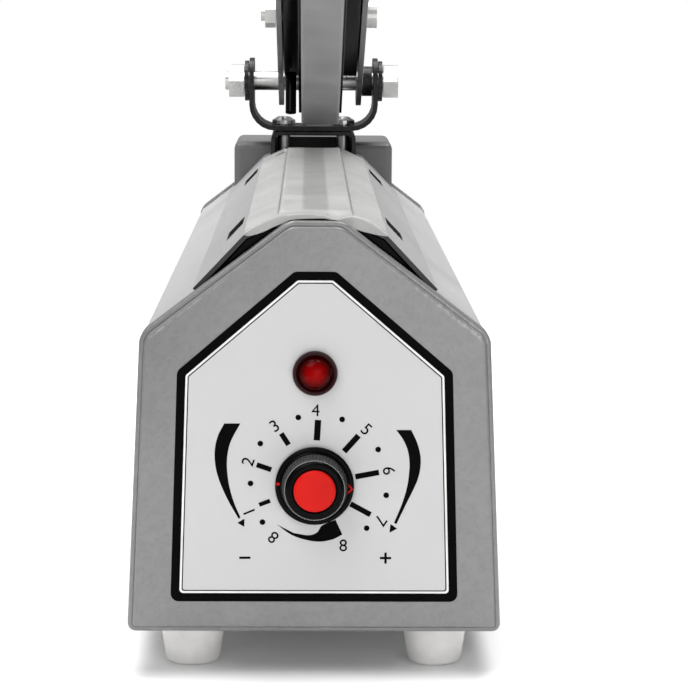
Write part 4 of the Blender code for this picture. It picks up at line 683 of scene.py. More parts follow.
def inset_outline(corners, amount):
    """An outline with every side moved in by the same amount."""
    area = sum(a[0] * b[1] - b[0] * a[1] for a, b in zip(corners, corners[1:] + corners[:1]))
    way = 1.0 if area > 0.0 else -1.0
    lines = []
    for first, second in zip(corners, corners[1:] + corners[:1]):
        along = (Vector(second) - Vector(first)).normalized()
        inward = Vector((-along.y, along.x)) * way
        lines.append((Vector(first) + inward * amount, along))
    points = []
    for i, (origin, along) in enumerate(lines):
        before, was = lines[i - 1]
        cross = was.x * along.y - was.y * along.x
        gap = origin - before
        share = (gap.x * along.y - gap.y * along.x) / cross
        points.append(tuple(before + was * share))
    return points


def plane_slab(name, outline, y, thickness, key, holes=()):
    """A thin flat slab facing the front, with optional holes, from outlines in (x, z)."""
    curve = bpy.data.curves.new(name, "CURVE")
    curve.dimensions = "2D"
    curve.fill_mode = "BOTH"
    curve.extrude = thickness / 2.0
    for points in (outline, *holes):
        spline = curve.splines.new("POLY")
        spline.points.add(len(points) - 1)
        for point, (a, b) in zip(spline.points, points):
            point.co = (a, b, 0.0, 1.0)
        spline.use_cyclic_u = True
    return flat_to_mesh(name, curve, y - thickness / 2.0, key)


def curve_bmesh(name, curve):
    """A curve or text made into a bmesh; the curve is removed."""
    holder = bpy.data.objects.new(name + " outline", curve)
    bpy.context.scene.collection.objects.link(holder)
    bpy.context.view_layer.update()
    shape = holder.evaluated_get(bpy.context.evaluated_depsgraph_get())
    mesh = bpy.data.meshes.new_from_object(shape)
    bpy.data.objects.remove(holder)
    bpy.data.curves.remove(curve)
    bm = bmesh.new()
    bm.from_mesh(mesh)
    bpy.data.meshes.remove(mesh)
    return bm


def flat_to_mesh(name, curve, y, key, at=(0.0, 0.0), turn=0.0):
    """Turns a flat curve or text into a mesh that stands on the front face."""
    bm = curve_bmesh(name, curve)
    place = Matrix.Translation((at[0], y, at[1])) @ Matrix.Rotation(turn, 4, "Y")
    bm.transform(place @ Matrix.Rotation(math.pi / 2.0, 4, "X"))
    bmesh.ops.remove_doubles(bm, verts=bm.verts[:], dist=FINE_WELD)
    return finished(name, bm, key)


def along_axis(centre, axis):
    """The matrix that takes the Z axis to an axis through a centre."""
    return Matrix.Translation(centre) @ UP.rotation_difference(axis).to_matrix().to_4x4()


def lathe(name, profile, centre, axis, key, sides=72, angle=SHARP_ANGLE):
    """A turned piece from (radius, along) points; the axis is a unit vector."""
    bm = bmesh.new()
    verts = [bm.verts.new((radius, 0.0, along)) for radius, along in profile]
    edges = [bm.edges.new(pair) for pair in zip(verts, verts[1:])]
    bmesh.ops.spin(bm, geom=verts + edges, cent=(0.0, 0.0, 0.0), axis=UP,
                   angle=math.tau, steps=sides, use_merge=True)
    bmesh.ops.remove_doubles(bm, verts=bm.verts[:], dist=FINE_WELD)
    bm.transform(along_axis(centre, axis))
    obj = finished(name, bm, key)
    shade(obj, angle)
    return obj


def ring_profile(inner, outer, low, high):
    """The closed section of a ring."""
    return [(inner, low), (outer, low), (outer, high), (inner, high), (inner, low)]


def spread(name, objects):
    """Joins loose print pieces into one object."""
    bm = bmesh.new()
    material = objects[0].data.materials[0]
    for obj in objects:
        bm.from_mesh(obj.data)
        bpy.data.objects.remove(obj)
    return link_mesh(name, bm, material)


# The two end caps and the front label

BASE_X = 0.0401
EAVE_X, EAVE_Z = 0.0371, 0.0745
ROOF_X = 0.0058
HOUSE = [
    (-BASE_X, CAP_LOW.z), (BASE_X, CAP_LOW.z), (EAVE_X, EAVE_Z),
    (ROOF_X, CAP_HIGH.z), (-ROOF_X, CAP_HIGH.z), (-EAVE_X, EAVE_Z),
]
LABEL_SIDE_X, LABEL_SIDE_Z = 0.0291, 0.0667
LABEL_TOP_X = 0.0044
LABEL_BASE_X = 0.0307
LABEL = [
    (-LABEL_BASE_X, LABEL_LOW.z), (LABEL_BASE_X, LABEL_LOW.z), (LABEL_SIDE_X, LABEL_SIDE_Z),
    (LABEL_TOP_X, LABEL_HIGH.z), (-LABEL_TOP_X, LABEL_HIGH.z), (-LABEL_SIDE_X, LABEL_SIDE_Z),
]
HOUSE_CORNER = 0.0045
HOUSE_LOW_CORNER = 0.0018
LABEL_CORNER = 0.0017
CAP_PLATE = 0.0048
CAP_RIM_ROUND = 0.0006
CAP_RIM_LAND = 0.00030
CAP_GROOVE_DEPTH = 0.0001
CAP_GROOVE_WIDTH = 0.00010
CAP_GROOVE_SIDE = 0.00008
CAP_FACE_ROUND = 0.0005
CAP_FACE_RISE = 0.0010
SPIGOT_INSET = 0.0027
SPIGOT_WALL = 0.0022
SPIGOT_CORNER = 0.0015


def quarter(radius, steps):
    """Inset and rise of each step round a quarter turn."""
    shares = [math.pi / 2.0 * k / steps for k in range(steps + 1)]
    return [
        (radius * (math.cos(a) - math.cos(b)), radius * (math.sin(b) - math.sin(a)))
        for a, b in zip(shares, shares[1:])
    ]


def outline_mesh(corners, radius, segments=10, low_radius=1.0):
    """One face on the plane Y = 0 from a few corners, rounded by a vertex bevel, that faces forward."""
    bm = bmesh.new()
    bm.faces.new([bm.verts.new((across, 0.0, up)) for across, up in corners])
    lowest = min(vert.co.z for vert in bm.verts)
    for vert in bm.verts[:]:
        sides = [edge.other_vert(vert).co - vert.co for edge in vert.link_edges]
        size = radius if vert.co.z > lowest + WELD else min(radius, low_radius)
        reach = size / math.tan(sides[0].angle(sides[1]) / 2.0)
        bmesh.ops.bevel(bm, geom=[vert], offset=reach, segments=segments, affect="VERTICES",
                        profile=0.5, material=-1)
    bm.normal_update()
    if bm.faces[:][0].normal.y > 0.0:
        bmesh.ops.reverse_faces(bm, faces=bm.faces[:])
    return bm


def pull_out(bm, depth):
    """Extrudes the only face forward and returns the face that now leads."""
    pulled = bmesh.ops.extrude_face_region(bm, geom=bm.faces[:], use_keep_orig=True)
    verts = [part for part in pulled["geom"] if isinstance(part, bmesh.types.BMVert)]
    bmesh.ops.translate(bm, vec=(0.0, -depth, 0.0), verts=verts)
    lead = next(part for part in pulled["geom"] if isinstance(part, bmesh.types.BMFace))
    bmesh.ops.recalc_face_normals(bm, faces=bm.faces[:])
    return lead


def step_face(bm, face, steps):
    """Insets a face again and again; each step is (thickness, rise)."""
    for thickness, rise in steps:
        bmesh.ops.inset_region(bm, faces=[face], thickness=thickness, depth=rise,
                               use_even_offset=True, use_boundary=True)


def add_spigot(bm, depth):
    """The spigot behind a cap's plate: a wall between two outlines, closed by bridged loops."""
    loops = []
    for inset in (SPIGOT_INSET, SPIGOT_INSET + SPIGOT_WALL):
        for y in (HAIR, depth):
            flat = outline_mesh(inset_outline(HOUSE, inset), SPIGOT_CORNER, 6)
            bmesh.ops.translate(flat, vec=(0.0, y, 0.0), verts=flat.verts[:])
            mesh = bpy.data.meshes.new("spigot loop")
            flat.to_mesh(mesh)
            flat.free()
            before = set(bm.faces)
            bm.from_mesh(mesh)
            bpy.data.meshes.remove(mesh)
            face = next(face for face in bm.faces if face not in before)
            loops.append(face.edges[:])
            bmesh.ops.delete(bm, geom=[face], context="FACES_ONLY")
    for first, second in ((0, 1), (1, 3), (3, 2), (2, 0)):
        bmesh.ops.bridge_loops(bm, edges=loops[first] + loops[second])


def make_cap(name, node, y, way):
    """A cast end cap: a rounded rim, a fine groove and a raised inner face, hollow behind."""
    bm = outline_mesh(HOUSE, HOUSE_CORNER, 12, HOUSE_LOW_CORNER)
    rise = CAP_FACE_RISE + CAP_RIM_ROUND
    lead = pull_out(bm, CAP_PLATE - rise)
    wall = rise - CAP_RIM_ROUND - CAP_FACE_ROUND + CAP_GROOVE_DEPTH
    step_face(bm, lead, quarter(CAP_RIM_ROUND, 6))
    step_face(bm, lead, [
        (CAP_RIM_LAND, 0.0), (CAP_GROOVE_SIDE, -CAP_GROOVE_DEPTH), (CAP_GROOVE_WIDTH, 0.0),
        (CAP_GROOVE_SIDE, wall),
    ])
    step_face(bm, lead, quarter(CAP_FACE_ROUND, 5))
    low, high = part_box(node)
    add_spigot(bm, high.y - low.y - CAP_PLATE)
    bmesh.ops.scale(bm, vec=(1.0, way, 1.0), verts=bm.verts[:])
    bmesh.ops.translate(bm, vec=(0.0, y + way * CAP_PLATE, 0.0), verts=bm.verts[:])
    obj = finished(name, bm, "hammered")
    shade(obj)
    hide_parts(node)
    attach(obj, "base")
    return obj


def label_layers():
    """The label: black border, light line, thin black line and grey ground, each printed on the last."""
    settings = sizes()
    inner = settings.label_border + settings.label_line
    layers = (
        ("label_border", 0.0, 0.00008, "ink"),
        ("label_light_line", settings.label_border, 0.00011, "white ink"),
        ("label_dark_line", inner, 0.00014, "ink"),
        ("label_ground", inner + 0.00024, 0.00017, "label"),
    )
    made = []
    for name, inset, height, key in layers:
        bm = outline_mesh(inset_outline(LABEL, inset), max(LABEL_CORNER - inset / 2.0, WELD), 8)
        pull_out(bm, height)
        bmesh.ops.translate(bm, vec=(0.0, FACE_Y, 0.0), verts=bm.verts[:])
        made.append(finished(name, bm, key))
    return made


# The printed dial: angles run clockwise from the top and radii from the dial's centre

DIAL_CENTRE = (-0.0001, KNOB_CENTRE.z + 0.0002)
DIAL_TICKS = (
    (-111.0, 0.0100, 0.0125, 0.00090), (-71.0, 0.0096, 0.0129, 0.00110), (-32.6, 0.0101, 0.0130, 0.00112),
    (3.2, 0.0095, 0.0139, 0.00135), (41.6, 0.0095, 0.0141, 0.00125), (79.2, 0.0089, 0.0140, 0.00118),
    (118.6, 0.0088, 0.0137, 0.00118),
)
DIAL_DOTS = (
    (-126.9, 0.0137), (-89.3, 0.0135), (-52.5, 0.0144), (-13.3, 0.0148), (22.7, 0.0152), (60.8, 0.0155),
    (98.6, 0.0155), (130.2, 0.0147),
)
DIAL_DOT_RADIUS = 0.00061
DIAL_NUMBERS = (
    ("1", -113.6, 0.0149, -113.0), ("2", -70.9, 0.0147, -70.0), ("3", -33.8, 0.0150, -34.0),
    ("4", 1.0, 0.0158, 0.0), ("5", 42.8, 0.0161, 42.0), ("6", 79.2, 0.0160, 80.0),
    ("7", 119.0, 0.0161, 122.0), ("8", -143.2, 0.0143, -142.0), ("8", 155.0, 0.0148, 0.0),
)
DIAL_NUMBER_HEIGHT = 0.0037
FIGURE_BOLDNESS = 0.000012
SIGN_LENGTH = 0.0024
SIGN_WIDTH = 0.0005
SIGN_DROP = 0.0160
LESS_X, MORE_X = -0.0148, 0.0152
LEFT_OUTER = (
    (-55.6, 0.0231), (-63.5, 0.02287), (-71.5, 0.02223), (-79.4, 0.02129), (-86.2, 0.02036), (-94.4, 0.01929),
    (-103.7, 0.01835), (-115.4, 0.01768),
)
LEFT_INNER = (
    (-50.1, 0.02039), (-59.3, 0.02001), (-67.0, 0.0197), (-76.2, 0.01906), (-85.7, 0.01835), (-93.7, 0.01787),
    (-103.3, 0.01746), (-114.7, 0.01723),
)
LEFT_HEAD = ((-117.2, 0.01835), (-116.9, 0.01656), (-122.0, 0.01749))
RIGHT_OUTER = (
    (60.1, 0.02365), (67.3, 0.0236), (74.5, 0.02337), (80.6, 0.02285), (86.9, 0.02205), (93.7, 0.0210),
    (103.2, 0.01995), (115.9, 0.01955),
)
RIGHT_INNER = (
    (55.8, 0.02095), (62.7, 0.02118), (69.2, 0.02115), (76.2, 0.02081), (83.1, 0.02028), (91.2, 0.01976),
    (101.8, 0.0192), (116.2, 0.01898),
)
RIGHT_HEAD = ((118.4, 0.02012), (117.7, 0.01839), (123.0, 0.01919))
SWEEP_OUTER = ((-137.4, 0.01178), (-159.0, 0.01202), (-181.7, 0.01243), (-197.6, 0.01259), (-209.1, 0.01245))
SWEEP_INNER = ((-210.8, 0.00894), (-191.2, 0.00908), (-183.8, 0.01043), (-173.9, 0.01112), (-157.8, 0.01143))


def dial_point(angle, radius):
    """A point of the front plane from its clockwise angle in degrees and its radius."""
    turn = math.radians(angle)
    return DIAL_CENTRE[0] + radius * math.sin(turn), DIAL_CENTRE[1] + radius * math.cos(turn)


def smooth_through(points, steps=8):
    """A smooth open line through a few plane points."""
    line = [Vector(point) for point in points]
    padded = [line[0] * 2.0 - line[1]] + line + [line[-1] * 2.0 - line[-2]]
    result = []
    for i in range(1, len(padded) - 2):
        before, start, end, after = padded[i - 1:i + 3]
        for k in range(steps):
            t = k / steps
            result.append(tuple(0.5 * (
                2.0 * start + (end - before) * t
                + (2.0 * before - 5.0 * start + 4.0 * end - after) * t * t
                + (3.0 * start - before - 3.0 * end + after) * t * t * t)))
    result.append(tuple(line[-1]))
    return result


def dial_line(points):
    """A smooth line through a few dial points."""
    return smooth_through([dial_point(*point) for point in points])


def arc_arrow(name, far, near, head, y):
    """A curved arrow that narrows toward its head."""
    blade = dial_line(far) + dial_line(near)[::-1]
    tip = [dial_point(*corner) for corner in head]
    return [
        plane_slab(name, blade, y, PRINT_THICKNESS, "ink"),
        plane_slab(name + "_head", tip, y, PRINT_THICKNESS, "ink"),
    ]


def print_number(text, angle, radius, turn, y):
    """One printed figure of the dial."""
    curve = bpy.data.curves.new("figure " + text, "FONT")
    curve.body = text
    curve.size = DIAL_NUMBER_HEIGHT
    curve.align_x = "CENTER"
    curve.align_y = "CENTER"
    curve.offset = 0.0 if text == "4" else FIGURE_BOLDNESS  # a bolder 4 closes up
    curve.extrude = PRINT_THICKNESS / 2.0
    at = dial_point(angle, radius)
    return flat_to_mesh("figure_" + text, curve, y - PRINT_THICKNESS / 2.0, "ink", at, math.radians(turn))


def print_bar(centre, width, height, turn, y):
    """One straight printed bar."""
    half_x = width / 2.0
    half_z = height / 2.0
    corners = [(-half_x, -half_z), (half_x, -half_z), (half_x, half_z), (-half_x, half_z)]
    c, s = math.cos(turn), math.sin(turn)
    points = [(centre[0] + a * c + b * s, centre[1] - a * s + b * c) for a, b in corners]
    return plane_slab("bar", points, y, PRINT_THICKNESS, "ink")


def print_dot(angle, radius, y):
    """One round printed dot of the dial."""
    x, z = dial_point(angle, radius)
    turns = [math.tau * k / 24 for k in range(24)]
    circle = [(x + DIAL_DOT_RADIUS * math.cos(a), z + DIAL_DOT_RADIUS * math.sin(a)) for a in turns]
    return plane_slab("dot", circle, y, PRINT_THICKNESS, "ink")


def make_dial():
    """All the print on the label's ground: ticks, dots, numbers, arrows and plain less and more signs."""
    y = FACE_Y - 0.00015
    prints = []
    for angle, near, far, width in DIAL_TICKS:
        middle = dial_point(angle, (near + far) / 2.0)
        prints.append(print_bar(middle, width, far - near, math.radians(angle), y))
    for angle, radius in DIAL_DOTS:
        prints.append(print_dot(angle, radius, y))
    for text, angle, radius, turn in DIAL_NUMBERS:
        prints.append(print_number(text, angle, radius, turn, y))
    prints += arc_arrow("left_arrow", LEFT_OUTER, LEFT_INNER, LEFT_HEAD, y)
    prints += arc_arrow("right_arrow", RIGHT_OUTER, RIGHT_INNER, RIGHT_HEAD, y)
    sweep = dial_line(SWEEP_OUTER) + dial_line(SWEEP_INNER)
    prints.append(plane_slab("sweep", sweep, y, PRINT_THICKNESS, "ink"))
    for x in (LESS_X, MORE_X):
        prints.append(print_bar((x, DIAL_CENTRE[1] - SIGN_DROP), SIGN_LENGTH, SIGN_WIDTH, 0.0, y))
    upright = (MORE_X, DIAL_CENTRE[1] - SIGN_DROP)
    prints.append(print_bar(upright, SIGN_WIDTH, SIGN_LENGTH, 0.0, y - HAIR / 4.0))
    return spread("dial_print", prints)


# The signal lamp and the timer knob

KNOB_BODY = 0.0070
KNOB_NOSE = 0.0064
FLUTE_DEPTH = 0.00030
POINTER_TURN = math.radians(94.0)
POINTER_MIDDLE = 0.00735


def make_lamp():
    """The lamp's dark red bezel, its red domed lens, and the bright core within."""
    low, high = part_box("lamp_bezel")
    outer = (high.x - low.x) / 2.0
    lens_low, lens_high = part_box("lamp_lens")
    lens = (lens_high.x - lens_low.x) / 2.0
    proud = FACE_Y - lens_low.y
    ring = FACE_Y - low.y
    centre = Vector((LAMP_CENTRE.x, FACE_Y, LAMP_CENTRE.z))
    seat = ring * 0.25
    bezel = lathe("lamp_bezel_ring", [
        (lens + 0.00005, seat), (outer - 0.00035, seat), (outer, seat), (outer, ring * 0.7),
        (outer - 0.0002, ring), (outer - 0.0005, ring), (lens + 0.0003, ring * 0.92),
        (lens + 0.00005, ring * 0.6), (lens + 0.00005, seat),
    ], centre, FORWARD, "rim", angle=math.radians(60.0))
    dome = [(0.0, 0.0), (lens, 0.0), (lens, ring * 0.9)]
    for k in range(1, 9):
        turn = math.pi / 2.0 * k / 8
        dome.append((lens * math.cos(turn), ring * 0.9 + (proud - ring * 0.9) * math.sin(turn)))
    glass = lathe("lamp_dome", dome, centre, FORWARD, "lens", angle=math.radians(50.0))
    core = lathe("lamp_core", [
        (0.0, proud * 0.10), (lens * 0.80, proud * 0.10), (lens * 0.74, proud * 0.22),
        (lens * 0.30, proud * 0.50), (0.0, proud * 0.56),
    ], centre, FORWARD, "core", sides=32)
    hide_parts("lamp_bezel")
    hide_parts("lamp_lens")
    return [bezel, glass, core]


def make_grip(centre, back, front):
    """The knob's fluted body: four bridged rings, grooved on the middle two."""
    flutes = sizes().knob_flutes
    levels = (
        (KNOB_BODY, back + 0.0012, 0.0), (KNOB_BODY, back + 0.0016, FLUTE_DEPTH),
        (KNOB_NOSE + 0.0002, front - 0.0012, FLUTE_DEPTH), (KNOB_NOSE, front - 0.0010, 0.0),
    )
    bm = bmesh.new()
    rings = []
    for radius, along, depth in levels:
        circle = bmesh.ops.create_circle(bm, segments=flutes * 4, radius=1.0, cap_ends=False)["verts"]
        for k, vert in enumerate(circle):
            size = radius - depth if k % 4 in (1, 2) else radius
            vert.co = Vector((vert.co.x * size, vert.co.y * size, along))
        rings.append([edge for edge in bm.edges if edge.verts[0] in circle and edge.verts[1] in circle])
    for first, second in zip(rings, rings[1:]):
        bmesh.ops.bridge_loops(bm, edges=first + second)
    bmesh.ops.holes_fill(bm, edges=bm.edges[:], sides=0)
    bm.transform(along_axis(centre, FORWARD))
    grip = finished("knob_grip", bm, "grip")
    shade(grip, math.radians(25.0))
    return grip


def make_knob():
    """The timer knob: a dished skirt, a fluted body, a light edge line, its pointer and the red cap."""
    centre = Vector((KNOB_CENTRE.x, 0.0, KNOB_CENTRE.z))
    back = -KNOB_HIGH.y
    front = -KNOB_LOW.y
    skirt = (KNOB_HIGH.x - KNOB_LOW.x) / 2.0
    base = lathe("knob_skirt", [
        (0.0, back), (skirt - 0.0002, back), (skirt, back + 0.0002), (skirt, back + 0.0007),
        (skirt - 0.0003, back + 0.0010), (skirt - 0.0007, back + 0.0011),
        (KNOB_BODY + 0.0004, back + 0.0010), (KNOB_BODY + 0.0001, back + 0.0013), (0.0, back + 0.0013),
    ], centre, FORWARD, "plastic", sides=96, angle=math.radians(50.0))
    grip = make_grip(centre, back, front)
    cap_low, cap_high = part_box("knob_cap")
    cap = (cap_high.x - cap_low.x) / 2.0
    cap_front = -cap_low.y
    face = lathe("knob_face", [
        (0.0, front - 0.0020), (KNOB_NOSE - 0.00015, front - 0.0011), (KNOB_NOSE - 0.00005, front - 0.0008),
        (KNOB_NOSE - 0.0004, front - 0.0002), (KNOB_NOSE - 0.0009, front), (cap + 0.0004, front),
        (cap + 0.00012, front - 0.0004), (0.0, front - 0.0004),
    ], centre, FORWARD, "plastic", sides=96, angle=math.radians(40.0))
    edge = ring_profile(KNOB_NOSE - 0.00030, KNOB_NOSE - 0.00004, front - 0.00095, front - 0.00072)
    line = lathe("knob_edge_line", edge, centre, FORWARD, "steel", sides=96)
    button = lathe("knob_button", [
        (0.0, front - 0.0015), (cap, front - 0.0015), (cap, cap_front - 0.00035),
        (cap - 0.0001, cap_front - 0.00012), (cap - 0.0004, cap_front), (cap * 0.6, cap_front - 0.00004),
        (0.0, cap_front - 0.00006),
    ], centre, FORWARD, "red", sides=80, angle=math.radians(60.0))
    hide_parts("timer_knob")
    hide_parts("knob_cap")
    return [base, grip, face, line, button, make_pointer(-back - 0.0011)]


def pointer_point(along, across, scale=1.0):
    """A point of the front plane on the knob's pointer line, scaled about the pointer's middle."""
    along = POINTER_MIDDLE + (along - POINTER_MIDDLE) * scale
    across = across * scale
    c, s = math.cos(POINTER_TURN), math.sin(POINTER_TURN)
    return KNOB_CENTRE.x + along * s + across * c, KNOB_CENTRE.z + along * c - across * s


def make_pointer(y):
    """The pointer on the skirt: a small triangle drawn with a red outline, and a dash across from it."""
    tips = ((0.0082, 0.0), (0.0067, 0.0016), (0.0067, -0.0016))
    outline = [pointer_point(*tip) for tip in tips]
    hole = [pointer_point(*tip, 0.50) for tip in tips]
    corners = ((0.0074, 0.0003), (0.0074, -0.0003), (0.0081, -0.0003), (0.0081, 0.0003))
    dash = [pointer_point(-along, across) for along, across in corners]
    return spread("knob_pointer", [
        plane_slab("pointer", outline, y, PRINT_THICKNESS, "red ink", (hole,)),
        plane_slab("dash", dash, y, PRINT_THICKNESS, "red ink"),
    ])


# Feet, ridge, covers and body

def make_foot(node):
    """A turned rubber foot with a recess and the head of the screw that holds it."""
    low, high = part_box(node)
    centre = Vector(((low.x + high.x) / 2.0, (low.y + high.y) / 2.0, 0.0))
    top = high.z
    rubber = lathe(node + "_rubber", [
        (0.0, 0.0036), (0.0029, 0.0036), (0.0031, 0.0034), (0.0033, 0.0004), (0.0037, 0.0),
        (0.0051, 0.0), (0.0057, 0.0003), (0.0060, 0.0010), (0.0070, 0.0080), (0.0072, 0.0088),
        (0.0073, 0.0094), (0.0073, top - 0.0005), (0.0070, top), (0.0, top),
    ], centre, UP, "feet", sides=64, angle=math.radians(55.0))
    screw = lathe(node + "_screw", [
        (0.0, 0.0020), (0.0006, 0.0020), (0.0006, 0.0014), (0.0013, 0.0014), (0.0021, 0.0020),
        (0.0025, 0.0028), (0.0025, 0.0036), (0.0, 0.0036),
    ], centre, UP, "zinc", sides=32)
    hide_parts(node)
    return [rubber, screw]


# Cloth over the ridge: heights and hems run from its left edge to its right, in metres

CLOTH_HALF_WIDTH = 0.0152
CLOTH_OVERHANG = 0.0042
CLOTH_LOOSE_FROM = 0.0034
CLOTH_LOOSE_TO = 0.0100
CRISP_HEIGHTS = (
    (-0.0152, 0.09560), (-0.0086, 0.09842), (-0.00795, 0.09865), (-0.00775, 0.09982), (-0.0070, 0.10000),
    (0.0070, 0.10000), (0.00775, 0.09982), (0.00795, 0.09865), (0.0086, 0.09842), (0.0152, 0.09560),
)
LOOSE_HEIGHTS = (
    (-0.0152, 0.09555), (-0.0142, 0.09620), (-0.0112, 0.09810), (-0.0072, 0.09945), (-0.0020, 0.09990),
    (0.0015, 0.09970), (0.0044, 0.09875), (0.0060, 0.09905), (0.0082, 0.09915), (0.0117, 0.09800),
    (0.0142, 0.09640), (0.0152, 0.09560),
)
HEMS = (
    (-0.0152, 0.0002), (-0.0142, 0.0012), (-0.0112, 0.0023), (-0.0072, 0.0019), (-0.0054, 0.0013),
    (0.0, 0.0010), (0.0030, 0.0005), (0.0044, 0.0002), (0.0060, 0.0015), (0.0082, 0.0027),
    (0.0117, 0.0026), (0.0142, 0.0012), (0.0152, 0.0003),
)


def level(table, x):
    """A value read along a smooth curve through the stations of a table."""
    x = min(max(x, table[0][0]), table[-1][0])
    slopes = []
    for i in range(len(table)):
        before = table[max(i - 1, 0)]
        after = table[min(i + 1, len(table) - 1)]
        slopes.append((after[1] - before[1]) / (after[0] - before[0]))
    for i, ((a, low), (b, high)) in enumerate(zip(table, table[1:])):
        if x <= b:
            run = b - a
            t = (x - a) / run
            return (
                low * (1.0 + 2.0 * t) * (1.0 - t) ** 2 + slopes[i] * run * t * (1.0 - t) ** 2
                + high * t * t * (3.0 - 2.0 * t) + slopes[i + 1] * run * t * t * (t - 1.0))
    return table[-1][1]


def crisp_level(x):
    """The ridge's own section, with straight runs between its corners."""
    for (a, low), (b, high) in zip(CRISP_HEIGHTS, CRISP_HEIGHTS[1:]):
        if x <= b:
            return low + (high - low) * (x - a) / (b - a)
    return CRISP_HEIGHTS[-1][1]


def make_cloth():
    """The coated cloth: crisp over the ridge, loose at the front, where two lobes hang from a fold."""
    low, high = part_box("ptfe_sheet")
    start = low.y - CLOTH_OVERHANG
    length = high.y - start
    bm = bmesh.new()
    bmesh.ops.create_grid(bm, x_segments=160, y_segments=130, size=0.5)
    for vert in bm.verts:
        x = vert.co.x * 2.0 * CLOTH_HALF_WIDTH
        t = (vert.co.y + 0.5) ** 1.6 * length
        loose = min(max((CLOTH_LOOSE_TO - t) / (CLOTH_LOOSE_TO - CLOTH_LOOSE_FROM), 0.0), 1.0)
        loose = loose * loose * (3.0 - 2.0 * loose)
        z = crisp_level(x) * (1.0 - loose) + level(LOOSE_HEIGHTS, x) * loose
        side = min(max((abs(x) - 0.0090) / 0.003, 0.0), 1.0)
        z += side * (0.00011 * math.sin(t * 190.0 + x * 260.0) + 0.00007 * math.sin(t * 83.0 - x * 410.0))
        top = 1.0 - min(abs(x) / 0.0070, 1.0)
        z -= top * 0.00008 * (1.0 + math.sin(t * 120.0 + 40.0 * x))
        y = start + t
        hem = level(HEMS, x)
        if t < hem:
            hang = hem - t
            z -= hang * 0.96
            y = start + hem - hang * 0.22
        vert.co = Vector((x, y, z - sizes().cloth_thickness / 2.0))
    cloth = finished("coated_cloth_sheet", bm, "cloth")
    solid = cloth.modifiers.new("thickness", "SOLIDIFY")
    solid.thickness = sizes().cloth_thickness
    solid.offset = 0.0
    cloth.data.shade_smooth()
    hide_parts("ptfe_sheet")
    return cloth


# Black pieces that stand in for the shade under the covers

SHADE_SHEET_SIZE = (0.0078, 0.0215, 0.0003)
SHADE_SHEET_DEPTH = 0.0015
SHADE_PLUG = ((0.0232, 0.0842), (0.0145, 0.0938), (0.0081, 0.0967), (0.0081, 0.0868), (0.0216, 0.0868))
SHADE_PLUG_CORNER = 0.0002
SHADE_PLUG_DEPTH = 0.0012
SHADE_PLUG_Y = COVER_LOW.y + 0.0026


def hand_of(side):
    """The hand of a side of the sealer: -1 is left."""
    return "left" if side < 0 else "right"


def slot_shade_sheet(side, y):
    """A black sheet behind one slot of a cover, parallel with the cover's slope, that stands in for the shade
    inside the slot.
    """
    out = Vector((COVER_RISE.y, -COVER_RISE.x))
    centre = SLOT_CENTRE - out * SHADE_SHEET_DEPTH
    slope = Matrix.Rotation(-math.atan2(COVER_RISE.y, COVER_RISE.x), 3, "Y")
    bm = bmesh.new()
    bmesh.ops.create_cube(bm, size=1.0)
    bmesh.ops.scale(bm, vec=SHADE_SHEET_SIZE, verts=bm.verts)
    bmesh.ops.rotate(bm, cent=(0.0, 0.0, 0.0), matrix=slope, verts=bm.verts)
    bmesh.ops.translate(bm, vec=(centre.x, y, centre.y), verts=bm.verts)
    bmesh.ops.scale(bm, vec=(side, 1.0, 1.0), verts=bm.verts)
    place = "front" if y < 0.0 else "rear"
    return finished("slot_blind_%s_%s" % (hand_of(side), place), bm, "plastic")


def cover_shade_plug(side):
    """A black plug that fills the front end of the space under one cover, as painted shade."""
    bm = outline_mesh([(x * side, z) for x, z in SHADE_PLUG], SHADE_PLUG_CORNER, 2)
    pull_out(bm, SHADE_PLUG_DEPTH)
    bmesh.ops.translate(bm, vec=(0.0, SHADE_PLUG_Y, 0.0), verts=bm.verts[:])
    return finished("cover_packing_" + hand_of(side), bm, "plastic")


# The return spring round the hinge pivot

SPRING_WIRE = 0.0012
SPRING_RADIUS = 0.0045
SPRING_TURNS = 5
SPRING_PITCH = 0.0019
SPRING_X = 0.0020
SPRING_FOOT_Z = 0.1050
SPRING_LEG = 0.0100
SPRING_LEG_TURN = math.radians(80.0)


def make_spring():
    """The return spring: a leg down to the bracket, five turns round the pivot and a leg up the arm."""
    count = SPRING_TURNS * 28
    total = math.tau * SPRING_TURNS + SPRING_LEG_TURN
    width = SPRING_TURNS * SPRING_PITCH
    points = [(SPRING_X - width / 2.0, PIVOT.y + SPRING_RADIUS, SPRING_FOOT_Z)]
    for k in range(count + 1):
        turn = total * k / count
        points.append((
            SPRING_X + width * (k / count - 0.5),
            PIVOT.y + SPRING_RADIUS * math.cos(turn),
            PIVOT.z + SPRING_RADIUS * math.sin(turn),
        ))
    end = Vector(points[-1]) + Vector((0.0, -math.sin(total), math.cos(total))) * SPRING_LEG
    points.append(tuple(end))
    curve = bpy.data.curves.new("return spring wire", "CURVE")
    curve.dimensions = "3D"
    curve.bevel_depth = SPRING_WIRE / 2.0
    curve.bevel_resolution = 4
    curve.use_fill_caps = True
    spline = curve.splines.new("POLY")
    spline.points.add(len(points) - 1)
    for point, place in zip(spline.points, points):
        point.co = (*place, 1.0)
    bm = curve_bmesh("return spring wire", curve)
    bmesh.ops.remove_doubles(bm, verts=bm.verts[:], dist=FINE_WELD)
    spring = finished("return_spring_wire", bm, "zinc")
    shade(spring)
    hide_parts("return_spring")
    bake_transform(spring)
    return spring


# The frame's own pieces that stay: which body each rides on, how far its edges are rounded, its finish

